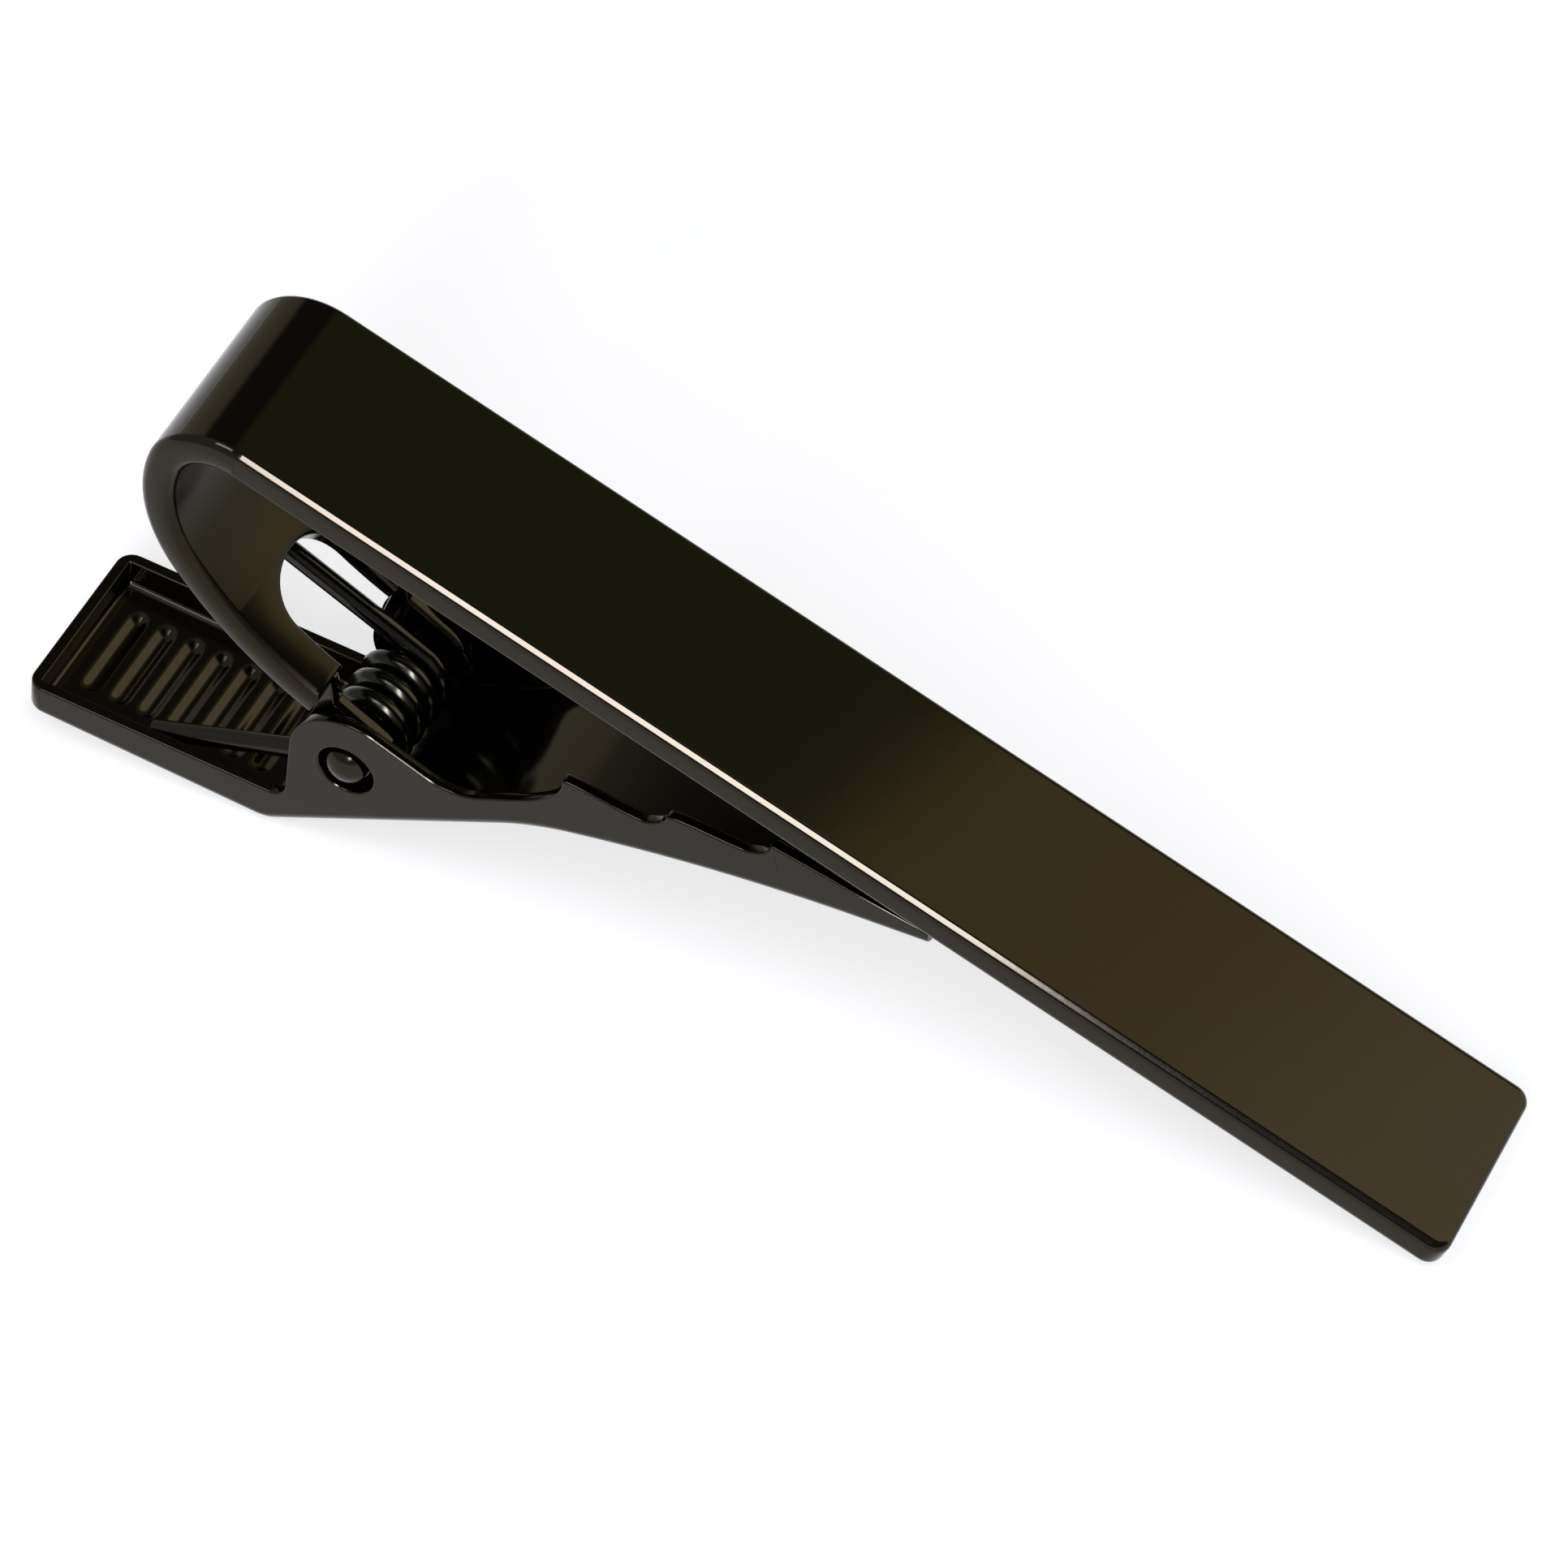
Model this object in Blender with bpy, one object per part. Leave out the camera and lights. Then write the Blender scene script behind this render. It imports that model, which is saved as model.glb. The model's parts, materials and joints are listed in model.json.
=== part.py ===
"""Tie bar with a sprung pinch clasp.

A flat front bar is bent round at one end into a curved back leg. Two ears on the leg hold a pin,
a channel-shaped clasp lever turns on it, and a wire spring wound round the pin shuts the lever's
toothed jaw on the back of the bar.

The pieces are drawn in the bar's own frame: +X from the bend to the free end, +Y across the bar,
+Z out of its front face, with the front face at zero. One frame carries them all and lays them on
the table, tilted as the real object lies, with the middle of its footprint at the world's origin.
"""

import math
from typing import NamedTuple

import bmesh
import bpy
from mathutils import Matrix, Vector

# Front bar: one strip, flat in front, bent into the leg behind
BAR_LENGTH = 0.0400
BAR_WIDTH = 0.0060
BAR_THICKNESS = 0.0010
BAR_EDGE_ROUND = 0.00025
TIP_CORNER_RADIUS = 0.0005
CROWN_RADIUS = 0.00226
HEEL_RADIUS = 0.0046
HEEL_TURN = math.radians(51.4)
LEG_RADIUS = 0.01166
LEG_TURN = math.radians(28.7)
SLOT_LENGTH = 0.00335
SLOT_EAR_STEP = 0.00028

# Hinge ears, folded down at the end of the leg
EAR_THICKNESS = 0.0005
EAR_ROOT = 0.0008
EAR_INSET = 0.0001
EAR_NECK_REACH = 0.0005
EAR_NECK_RISE = 0.0002
EAR_FLOOR_GAP = 0.0001
PIN_REACH = 0.0016
PIN_DROP = 0.0017

# Pin
PIN_RADIUS = 0.0006
PIN_FIT = 0.00005
PIN_CHAMFER = 0.00012

# Spring
WIRE_RADIUS = 0.0003
COIL_BORE_GAP = 0.00008
COIL_SIDE_GAP = 0.0003
WHOLE_TURNS = 2
ARM_SEAT_GAP = 0.0003
FAR_ARM_LAP = 0.0006
FAR_ARM_SIDE = 0.0008
NEAR_ARM_TIP = 0.0037
NEAR_ARM_SIDE_GAP = 0.0001

# Clasp lever: a channel folded from one thin blank
LEVER_INSET = 0.0002
LEVER_SHEET = 0.00035
LEVER_EDGE_ROUND = 0.00035
LEVER_RUNNING_GAP = 0.0001
COIL_FLOOR_GAP = 0.00037
TAB_LENGTH = 0.00765
TAB_PITCH = math.radians(32.8)
TAB_BEND_RADIUS = 0.0012
TAB_END_HEIGHT = 0.0012
TAB_RIM_HEIGHT = 0.00145
TAB_RIM_OVERRUN = 0.0005
RIM_FOOT_RADIUS = 0.0005
TAB_CORNER_RADIUS = 0.0005
SHANK_BACK = 0.00385
SHANK_FRONT = 0.0044
KNEE_RADIUS = 0.0090
KNEE_TURN = math.radians(14)
SWEEP_RADIUS = 0.0500
SWEEP_TURN = math.radians(10)
TIP_LENGTH = 0.0021
TIP_HEIGHT = 0.00055
JAW_REST_GAP = 0.0001

# Lever ears and the loose hole that the pin sits low in
LEVER_EYE_WALL = 0.00105
EYE_SHIFT = 0.0003
HOLE_SLACK = 0.00025
HOLE_SHIFT = 0.00017
HOLE_SHIFT_ANGLE = math.radians(12)

# Jaw edge: heights above the underside, stations along it from the foot of the pin
EAR_FOOT = 0.0034
EAR_FOOT_RADIUS = 0.0019
HOLLOW_END = 0.0050
HOLLOW_HEIGHT = 0.0011
TOOTH_COUNT = 3
FIRST_TOOTH = 0.0070
TOOTH_PITCH = 0.0030
FIRST_TOOTH_HEIGHT = 0.0023
LATER_TOOTH_HEIGHT = 0.0019
VALLEY_HEIGHT = 0.0014
TOOTH_RISE_LENGTH = 0.0009

# Grip ridges, pressed outwards through the floor of the thumb tab
RIDGE_COUNT = 7
RIDGE_START = 0.0013
RIDGE_END_GAP = 0.00095
RIDGE_LENGTH = 0.0033
RIDGE_RADIUS = 0.0003
RIDGE_RISE = 0.00015

# How far a cutter runs past what it cuts
CUT_OVERRUN = 0.0020

# Angles that tell one kind of face from another
NARROW = math.radians(10)
WIDE = math.radians(50)

# How finely round stretches are drawn
CROWN_STEPS = 12
HEEL_STEPS = 6
LEG_STEPS = 5
TAB_BEND_STEPS = 4
KNEE_STEPS = 4
SWEEP_STEPS = 4
EYE_STEPS = 14
RIM_FOOT_STEPS = 4
EAR_FOOT_STEPS = 6
TOOTH_STEPS = 4
HOLLOW_STEPS = 6
SLOT_END_STEPS = 14
CIRCLE_SIDES = 32
CURL_POINTS = 10
RIDGE_SIDES = 10
RIDGE_RINGS = 7

# Sizes that follow from the ones above
COIL_RADIUS = PIN_RADIUS + COIL_BORE_GAP + WIRE_RADIUS
COIL_OUTER_RADIUS = COIL_RADIUS + WIRE_RADIUS
PIN_HEIGHT = COIL_OUTER_RADIUS + COIL_FLOOR_GAP + LEVER_SHEET
LEVER_HALF = BAR_WIDTH / 2 - LEVER_INSET
LEVER_INNER_HALF = LEVER_HALF - LEVER_SHEET
EAR_OUTER = LEVER_INNER_HALF - LEVER_RUNNING_GAP
EAR_INNER = EAR_OUTER - EAR_THICKNESS
SLOT_HALF = EAR_INNER - SLOT_EAR_STEP
EAR_EYE_RADIUS = PIN_HEIGHT - LEVER_SHEET - EAR_FLOOR_GAP
COIL_HALF_SPAN = EAR_INNER - COIL_SIDE_GAP - WIRE_RADIUS
LEVER_HOLE_RADIUS = PIN_RADIUS + HOLE_SLACK
LEVER_EYE_RADIUS = LEVER_HOLE_RADIUS + LEVER_EYE_WALL
RIDGE_PITCH = (TAB_LENGTH - RIDGE_START - RIDGE_END_GAP) / (RIDGE_COUNT - 1)

BLACK_NICKEL = (0.030, 0.029, 0.026, 1.0)
SPRING_STEEL = (0.055, 0.053, 0.050, 1.0)


class Run(NamedTuple):
    """A straight stretch of a path."""

    length: float


class Bend(NamedTuple):
    """A round stretch of a path. A positive turn goes left."""

    radius: float
    turn: float
    steps: int


def direction(heading):
    return Vector((math.cos(heading), math.sin(heading)))


def left_of(heading):
    return Vector((-math.sin(heading), math.cos(heading)))


def walk(start, heading, stretches, offset=0.0):
    """The points of a path in the XZ plane, moved sideways by offset, and where it ends."""
    place = Vector(start)
    points = [place + left_of(heading) * offset]
    for stretch in stretches:
        if isinstance(stretch, Run):
            place = place + direction(heading) * stretch.length
            points.append(place + left_of(heading) * offset)
            continue
        side = math.copysign(stretch.radius, stretch.turn)
        centre = place + left_of(heading) * side
        for step in range(1, stretch.steps + 1):
            angle = heading + stretch.turn * step / stretch.steps
            points.append(centre - left_of(angle) * (side - offset))
        heading += stretch.turn
        place = centre - left_of(heading) * side
    return points, place, heading


def arc(centre, radius, first, last, steps):
    """Points on a circle from one angle to another, both ends included."""
    angles = [first + (last - first) * step / steps for step in range(steps + 1)]
    return [Vector(centre) + direction(angle) * radius for angle in angles]


def tangent_angle(point, centre, radius, side):
    """The angle on a circle where a line from point touches it: side is 1 or -1."""
    away = Vector(point) - Vector(centre)
    return math.atan2(away.y, away.x) + side * math.acos(radius / away.length)


def fillet(before, corner, after, radius, steps):
    """The round that takes the place of a corner between two straight lines."""
    back = (Vector(before) - corner).normalized()
    ahead = (Vector(after) - corner).normalized()
    half = back.angle(ahead) / 2
    centre = corner + (back + ahead).normalized() * radius / math.sin(half)
    spoke = corner + back * radius / math.tan(half) - centre
    first = math.atan2(spoke.y, spoke.x)
    side = -math.copysign(1, back.cross(ahead))
    return arc(centre, radius, first, first + (math.pi - half * 2) * side, steps)


def clear_scene():
    for obj in list(bpy.data.objects):
        bpy.data.objects.remove(obj, do_unlink=True)


def metal(name, colour, roughness):
    material = bpy.data.materials.new(name)
    material.use_nodes = True
    shader = material.node_tree.nodes["Principled BSDF"]
    shader.inputs["Base Color"].default_value = colour
    shader.inputs["Metallic"].default_value = 1.0
    shader.inputs["Roughness"].default_value = roughness
    return material


def add_object(name, data, parent, material=None):
    obj = bpy.data.objects.new(name, data)
    bpy.context.scene.collection.objects.link(obj)
    obj.parent = parent
    if material:
        data.materials.append(material)
    return obj


def mesh_object(name, mesh_builder, parent, material=None):
    """One piece, with its faces turned outwards and its round faces shaded smooth."""
    bmesh.ops.recalc_face_normals(mesh_builder, faces=mesh_builder.faces)
    mesh = bpy.data.meshes.new(name)
    mesh_builder.to_mesh(mesh)
    mesh_builder.free()
    mesh.shade_smooth()
    mesh.set_sharp_from_angle(angle=math.radians(35))
    return add_object(name, mesh, parent, material)


def prism(outline, low, high):
    """A solid with an outline in the XZ plane, extruded along Y."""
    builder = bmesh.new()
    corners = [builder.verts.new((point[0], low, point[1])) for point in outline]
    face = builder.faces.new(corners)
    grown = bmesh.ops.extrude_face_region(builder, geom=[face])["geom"]
    moved = [item for item in grown if isinstance(item, bmesh.types.BMVert)]
    bmesh.ops.translate(builder, verts=moved, vec=(0, high - low, 0))
    bmesh.ops.recalc_face_normals(builder, faces=builder.faces)
    return builder


def rod(radius, half_length, sides=CIRCLE_SIDES):
    """A plain round bar along Y, centred on the origin."""
    builder = bmesh.new()
    bmesh.ops.create_cone(
        builder, cap_ends=True, segments=sides, radius1=radius, radius2=radius,
        depth=half_length * 2, matrix=Matrix.Rotation(math.radians(90), 4, "X"),
    )
    return builder


def as_cutter(obj):
    obj.hide_render = True
    obj.display_type = "WIRE"
    return obj


def bevel_where(builder, offset, segments, first, second):
    """Rounds the edges that lie between a face of the first kind and one of the second."""
    chosen = []
    for edge in builder.edges:
        one, two = edge.link_faces
        if (first(one) and second(two)) or (first(two) and second(one)):
            chosen.append(edge)
    bmesh.ops.bevel(
        builder, geom=chosen, offset=offset, segments=segments, profile=0.5, affect="EDGES"
    )
    bmesh.ops.recalc_face_normals(builder, faces=builder.faces)


def combine(obj, other, operation):
    """Joins the other solid to this one, or cuts it away."""
    as_cutter(other)
    modifier = obj.modifiers.new(operation.lower() + "_" + other.name, "BOOLEAN")
    modifier.operation = operation
    modifier.object = other


def leg_path(leg_turn):
    """The outer line of the bar, from its free end round the bend and down the leg."""
    return [
        Run(BAR_LENGTH - CROWN_RADIUS),
        Bend(CROWN_RADIUS, math.radians(90), CROWN_STEPS),
        Bend(HEEL_RADIUS, HEEL_TURN, HEEL_STEPS),
        Bend(LEG_RADIUS, leg_turn, LEG_STEPS),
    ]


FREE_END = Vector((BAR_LENGTH, 0))
TOWARDS_BEND = math.pi
LEG_END, LEG_HEADING = walk(FREE_END, TOWARDS_BEND, leg_path(LEG_TURN))[1:]
SLOT_END, SLOT_HEADING = walk(
    FREE_END, TOWARDS_BEND, leg_path(LEG_TURN - SLOT_LENGTH / LEG_RADIUS)
)[1:]
PIN_PLACE = LEG_END + Vector((PIN_REACH, -PIN_DROP))


def ear_outline():
    """The side view of the two hinge ears, with a root that reaches into the leg's end."""
    along = direction(LEG_HEADING)
    up = left_of(LEG_HEADING)
    under = LEG_END + up * EAR_INSET
    over = LEG_END + up * (BAR_THICKNESS - EAR_INSET)
    neck = LEG_END + along * EAR_NECK_REACH + up * EAR_NECK_RISE
    first = tangent_angle(under, PIN_PLACE, EAR_EYE_RADIUS, 1)
    last = tangent_angle(neck, PIN_PLACE, EAR_EYE_RADIUS, -1) + math.tau
    eye = arc(PIN_PLACE, EAR_EYE_RADIUS, first, last, EYE_STEPS)
    return [over - along * EAR_ROOT, under - along * EAR_ROOT, under, *eye, neck, over]


def slot_cutter(parent):
    """A tall cutter, round at one end, square to the leg where the slot begins."""
    reach = SLOT_LENGTH + PIN_REACH + EAR_EYE_RADIUS + CUT_OVERRUN
    round_end = arc((SLOT_HALF, 0), SLOT_HALF, math.radians(90), math.radians(270), SLOT_END_STEPS)
    outline = [*round_end, Vector((reach, -SLOT_HALF)), Vector((reach, SLOT_HALF))]
    below = SLOT_LENGTH + PIN_DROP + EAR_EYE_RADIUS + CUT_OVERRUN
    above = BAR_THICKNESS + CUT_OVERRUN
    builder = bmesh.new()
    corners = [builder.verts.new((point[0], point[1], -below)) for point in outline]
    grown = bmesh.ops.extrude_face_region(builder, geom=[builder.faces.new(corners)])["geom"]
    moved = [item for item in grown if isinstance(item, bmesh.types.BMVert)]
    bmesh.ops.translate(builder, verts=moved, vec=(0, 0, below + above))
    cutter = mesh_object("slot_cutter", builder, parent)
    cutter.location = (SLOT_END.x, 0, SLOT_END.y)
    cutter.rotation_euler.y = -SLOT_HEADING
    return cutter


def build_front_bar(parent, material):
    outer = walk(FREE_END, TOWARDS_BEND, leg_path(LEG_TURN))[0]
    inner = walk(FREE_END, TOWARDS_BEND, leg_path(LEG_TURN), BAR_THICKNESS)[0]
    builder = prism([*outer, *reversed(inner)], -BAR_WIDTH / 2, BAR_WIDTH / 2)
    bevel_where(
        builder, TIP_CORNER_RADIUS, 5,
        lambda face: face.normal.x > math.cos(NARROW),
        lambda face: abs(face.normal.y) > math.cos(NARROW),
    )
    bar = mesh_object("front_bar", builder, parent, material)
    rounding = bar.modifiers.new("edge_round", "BEVEL")
    rounding.width = BAR_EDGE_ROUND
    rounding.segments = 2
    rounding.limit_method = "ANGLE"
    rounding.angle_limit = math.radians(40)
    combine(bar, slot_cutter(parent), "DIFFERENCE")
    near_ear = mesh_object("near_ear", prism(ear_outline(), -EAR_OUTER, -EAR_INNER), parent)
    far_ear = mesh_object("far_ear", prism(ear_outline(), EAR_INNER, EAR_OUTER), parent)
    combine(bar, near_ear, "UNION")
    combine(bar, far_ear, "UNION")
    bore = mesh_object("ear_bore", rod(PIN_RADIUS + PIN_FIT, BAR_WIDTH / 2 + CUT_OVERRUN), parent)
    bore.location = (PIN_PLACE.x, 0, PIN_PLACE.y)
    combine(bar, bore, "DIFFERENCE")
    return bar


TAB_CORNER = Vector((-SHANK_BACK, -PIN_HEIGHT))
TAB_TAIL = TAB_CORNER - direction(-TAB_PITCH) * TAB_LENGTH
TAB_BEND_REACH = TAB_BEND_RADIUS * math.tan(TAB_PITCH / 2)


def lever_path(tab_trim, tip_extra):
    """The lever's underside, from the tab's end to the jaw's tip. The pin is at the origin."""
    return [
        Run(TAB_LENGTH - TAB_BEND_REACH - tab_trim),
        Bend(TAB_BEND_RADIUS, TAB_PITCH, TAB_BEND_STEPS),
        Run(SHANK_BACK + SHANK_FRONT - TAB_BEND_REACH),
        Bend(KNEE_RADIUS, -KNEE_TURN, KNEE_STEPS),
        Bend(SWEEP_RADIUS, -SWEEP_TURN, SWEEP_STEPS),
        Run(TIP_LENGTH + tip_extra),
    ]


def above_underside(station, height):
    """The point at a height above the underside, by its distance from the foot of the pin."""
    if station <= SHANK_FRONT:
        return Vector((station, height - PIN_HEIGHT))
    beyond = station - SHANK_FRONT
    knee = min(beyond / KNEE_RADIUS, KNEE_TURN)
    beyond -= knee * KNEE_RADIUS
    sweep = min(beyond / SWEEP_RADIUS, SWEEP_TURN)
    beyond -= sweep * SWEEP_RADIUS
    stretches = [Bend(KNEE_RADIUS, -knee, 1)]
    if sweep:
        stretches.append(Bend(SWEEP_RADIUS, -sweep, 1))
    if beyond:
        stretches.append(Run(beyond))
    return walk((SHANK_FRONT, -PIN_HEIGHT), 0.0, stretches, height)[0][-1]


def rise(start, start_height, end, end_height, steps):
    """A hollow curve that leaves level and ends steep, as stations and heights."""
    angles = [math.radians(90) * step / steps for step in range(steps + 1)]
    return [
        (
            start + (end - start) * math.sin(angle),
            start_height + (end_height - start_height) * (1 - math.cos(angle)),
        )
        for angle in angles
    ]


def jaw_edge():
    """The top edge of a flange from the end of its hollow to the last tooth."""
    marks = rise(HOLLOW_END, HOLLOW_HEIGHT, FIRST_TOOTH, FIRST_TOOTH_HEIGHT, HOLLOW_STEPS)
    for tooth in range(1, TOOTH_COUNT):
        tip = FIRST_TOOTH + TOOTH_PITCH * tooth
        start = tip - TOOTH_RISE_LENGTH
        marks += rise(start, VALLEY_HEIGHT, tip, LATER_TOOTH_HEIGHT, TOOTH_STEPS)
    return [above_underside(*mark) for mark in marks]


def hole_centre():
    """The lever's hole is larger than the pin, and shifted so that the pin sits low in it."""
    return direction(HOLE_SHIFT_ANGLE) * HOLE_SHIFT


def lever_outline():
    """The lever's side view: its underside, then back over the teeth, the ear and the tab's rim."""
    underside, tip, heading = walk(TAB_TAIL, -TAB_PITCH, lever_path(0, 0))
    tip_top = tip + left_of(heading) * TIP_HEIGHT
    edge = jaw_edge()
    along = direction(-TAB_PITCH)
    up = left_of(-TAB_PITCH)
    rim_foot = TAB_CORNER + along * TAB_RIM_OVERRUN + up * TAB_RIM_HEIGHT
    eye_centre = Vector((EYE_SHIFT, 0))
    ear_foot = above_underside(EAR_FOOT, HOLLOW_HEIGHT)
    first = tangent_angle(ear_foot, eye_centre, LEVER_EYE_RADIUS, 1)
    last = tangent_angle(rim_foot, eye_centre, LEVER_EYE_RADIUS, -1)
    eye = arc(eye_centre, LEVER_EYE_RADIUS, first, last % math.tau, EYE_STEPS)
    sweep = fillet(edge[0], ear_foot, eye[0], EAR_FOOT_RADIUS, EAR_FOOT_STEPS)
    rim_tail = TAB_TAIL + up * TAB_END_HEIGHT
    foot = fillet(eye[-1], rim_foot, rim_tail, RIM_FOOT_RADIUS, RIM_FOOT_STEPS)
    return [*underside, tip_top, *reversed(edge), *sweep, *eye, *foot, rim_tail]


def channel_outline():
    """The hollow of the channel, in side view: open above and at the jaw, walled at the tab."""
    along = direction(-TAB_PITCH)
    start = TAB_TAIL + along * LEVER_SHEET
    floor, tip, heading = walk(start, -TAB_PITCH, lever_path(LEVER_SHEET, CUT_OVERRUN), LEVER_SHEET)
    top = LEVER_EYE_RADIUS + CUT_OVERRUN
    open_end = start + left_of(-TAB_PITCH) * (TAB_RIM_HEIGHT + CUT_OVERRUN)
    return [*floor, Vector((tip.x, top)), Vector((open_end.x, top)), open_end]


def ridge_row(name, height, parent):
    """A row of round-ended bars across the tab's floor, at one height above its underside."""
    row = bmesh.new()
    stretch = RIDGE_LENGTH / 2 - RIDGE_RADIUS
    upright = Matrix.Rotation(math.radians(90), 4, "X")
    for ridge in range(RIDGE_COUNT):
        made = bmesh.ops.create_uvsphere(
            row, u_segments=RIDGE_SIDES, v_segments=RIDGE_RINGS, radius=RIDGE_RADIUS, matrix=upright
        )["verts"]
        along = direction(-TAB_PITCH) * (RIDGE_START + RIDGE_PITCH * ridge)
        place = TAB_TAIL + along + left_of(-TAB_PITCH) * height
        for vert in made:
            vert.co.y += math.copysign(stretch, vert.co.y)
        bmesh.ops.translate(row, verts=made, vec=(place.x, 0, place.y))
    return mesh_object(name, row, parent)


def lever_pitch():
    """How far the lever is turned up from the bar for its jaw to rest on the bar's back."""
    tip, heading = walk(TAB_TAIL, -TAB_PITCH, lever_path(0, 0))[1:]
    contact = tip + left_of(heading) * TIP_HEIGHT
    rest_height = -BAR_THICKNESS - JAW_REST_GAP - PIN_PLACE.y
    return math.asin(rest_height / contact.length) - math.atan2(contact.y, contact.x)


def build_clasp_lever(parent, material):
    """The lever's own frame has the pin at its origin and the shank along X."""
    builder = prism(lever_outline(), -LEVER_HALF, LEVER_HALF)
    bevel_where(
        builder, TAB_CORNER_RADIUS, 5,
        lambda face: face.calc_center_median().x < TAB_TAIL.x + TAB_END_HEIGHT / 2,
        lambda face: abs(face.normal.y) > math.cos(NARROW),
    )
    bevel_where(
        builder, LEVER_EDGE_ROUND, 3,
        lambda face: face.normal.z < -math.cos(WIDE),
        lambda face: face.normal.z > -math.cos(WIDE) and face.normal.x < math.cos(WIDE),
    )
    lever = mesh_object("clasp_lever", builder, parent, material)
    channel = mesh_object(
        "channel_cutter", prism(channel_outline(), -LEVER_INNER_HALF, LEVER_INNER_HALF), parent
    )
    hole = mesh_object("lever_bore", rod(LEVER_HOLE_RADIUS, LEVER_HALF + CUT_OVERRUN), parent)
    shift = hole_centre()
    turn = Matrix.Rotation(-lever_pitch(), 3, "Y")
    place = Vector((PIN_PLACE.x, 0, PIN_PLACE.y))
    grooves = ridge_row("ridge_grooves", LEVER_SHEET + RIDGE_RADIUS - RIDGE_RISE, parent)
    ridges = ridge_row("ridge_bumps", RIDGE_RADIUS - RIDGE_RISE, parent)
    for piece in (lever, channel, grooves, ridges, hole):
        piece.location = place
        piece.rotation_euler.y = -lever_pitch()
    hole.location = place + turn @ Vector((shift.x, 0, shift.y))
    combine(lever, channel, "DIFFERENCE")
    combine(lever, hole, "DIFFERENCE")
    combine(lever, ridges, "UNION")
    combine(lever, grooves, "DIFFERENCE")
    return lever


def build_pivot_pin(parent, material):
    """The pin is as long as the bar is wide, so its ends stand a little proud of the lever."""
    pin = mesh_object("pivot_pin", rod(PIN_RADIUS, BAR_WIDTH / 2), parent, material)
    pin.location = (PIN_PLACE.x, 0, PIN_PLACE.y)
    chamfer = pin.modifiers.new("end_round", "BEVEL")
    chamfer.width = PIN_CHAMFER
    chamfer.segments = 2
    chamfer.limit_method = "ANGLE"
    chamfer.angle_limit = math.radians(40)
    return pin


def to_bar(point):
    """A point of the lever's side view, in the bar's frame, seen from the pin."""
    return Matrix.Rotation(lever_pitch(), 2) @ Vector(point)


def spring_points():
    """The middle of the wire, from the arm under the leg, round the pin, to the arm in the tab."""
    seat = left_of(SLOT_HEADING) * (ARM_SEAT_GAP + WIRE_RADIUS)
    far_tip = SLOT_END - seat - direction(SLOT_HEADING) * FAR_ARM_LAP - PIN_PLACE
    tab_up = left_of(-TAB_PITCH) * (LEVER_SHEET + WIRE_RADIUS + NEAR_ARM_SIDE_GAP)
    near_tip = to_bar(TAB_TAIL + direction(-TAB_PITCH) * NEAR_ARM_TIP + tab_up)
    near_side = LEVER_INNER_HALF - WIRE_RADIUS - NEAR_ARM_SIDE_GAP
    first = tangent_angle(far_tip, (0, 0), COIL_RADIUS, -1)
    last = tangent_angle(near_tip, (0, 0), COIL_RADIUS, 1) % math.tau - math.tau
    turn = first - last + WHOLE_TURNS * math.tau
    steps = round(CURL_POINTS * turn / math.tau)
    points = [Vector((far_tip.x, FAR_ARM_SIDE, far_tip.y))]
    for step in range(steps + 1):
        share = step / steps
        spot = direction(first - turn * share) * COIL_RADIUS
        across = COIL_HALF_SPAN - COIL_HALF_SPAN * 2 * share
        points.append(Vector((spot.x, across, spot.y)))
    points.append(Vector((near_tip.x, -near_side, near_tip.y)))
    return points


def least_gap(points):
    """The smallest clear space between one stretch of the wire and another."""
    apart = CURL_POINTS // 2
    nearest = min(
        (points[i] - points[j]).length
        for i in range(len(points))
        for j in range(i + apart, len(points))
    )
    return nearest - WIRE_RADIUS * 2


def build_torsion_spring(parent, material):
    points = spring_points()
    print(f"least gap of the spring to itself: {least_gap(points):.6f} m")
    curve = bpy.data.curves.new("torsion_spring", "CURVE")
    curve.dimensions = "3D"
    curve.bevel_depth = WIRE_RADIUS
    curve.bevel_resolution = 1
    curve.use_fill_caps = True
    spline = curve.splines.new("POLY")
    spline.points.add(len(points) - 1)
    for spot, point in zip(spline.points, points):
        spot.co = (*point, 1)
    spring = add_object("torsion_spring", curve, parent, material)
    spring.location = (PIN_PLACE.x, 0, PIN_PLACE.y)
    return spring


def table_tilt():
    """The lean about Y at which the free end and the lever's underside both touch the table."""
    heel = Vector((BAR_LENGTH, -BAR_THICKNESS))
    underside = walk(TAB_TAIL, -TAB_PITCH, lever_path(0, 0))[0]
    places = [PIN_PLACE + to_bar(point) for point in underside]
    return max(math.atan2(heel.y - place.y, heel.x - place.x) for place in places)


def lay_on_table(frame, pieces):
    """Leans the frame and moves it, so that the box round the pieces stands on the origin."""
    frame.rotation_euler.y = table_tilt()
    bpy.context.view_layer.update()
    graph = bpy.context.evaluated_depsgraph_get()
    corners = []
    for piece in pieces:
        evaluated = piece.evaluated_get(graph)
        mesh = evaluated.to_mesh()
        corners += [evaluated.matrix_world @ vert.co for vert in mesh.vertices]
        evaluated.to_mesh_clear()
    low = [min(corner[axis] for corner in corners) for axis in range(3)]
    high = [max(corner[axis] for corner in corners) for axis in range(3)]
    frame.location = (-(low[0] + high[0]) / 2, -(low[1] + high[1]) / 2, -low[2])
    bpy.context.view_layer.update()


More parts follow.
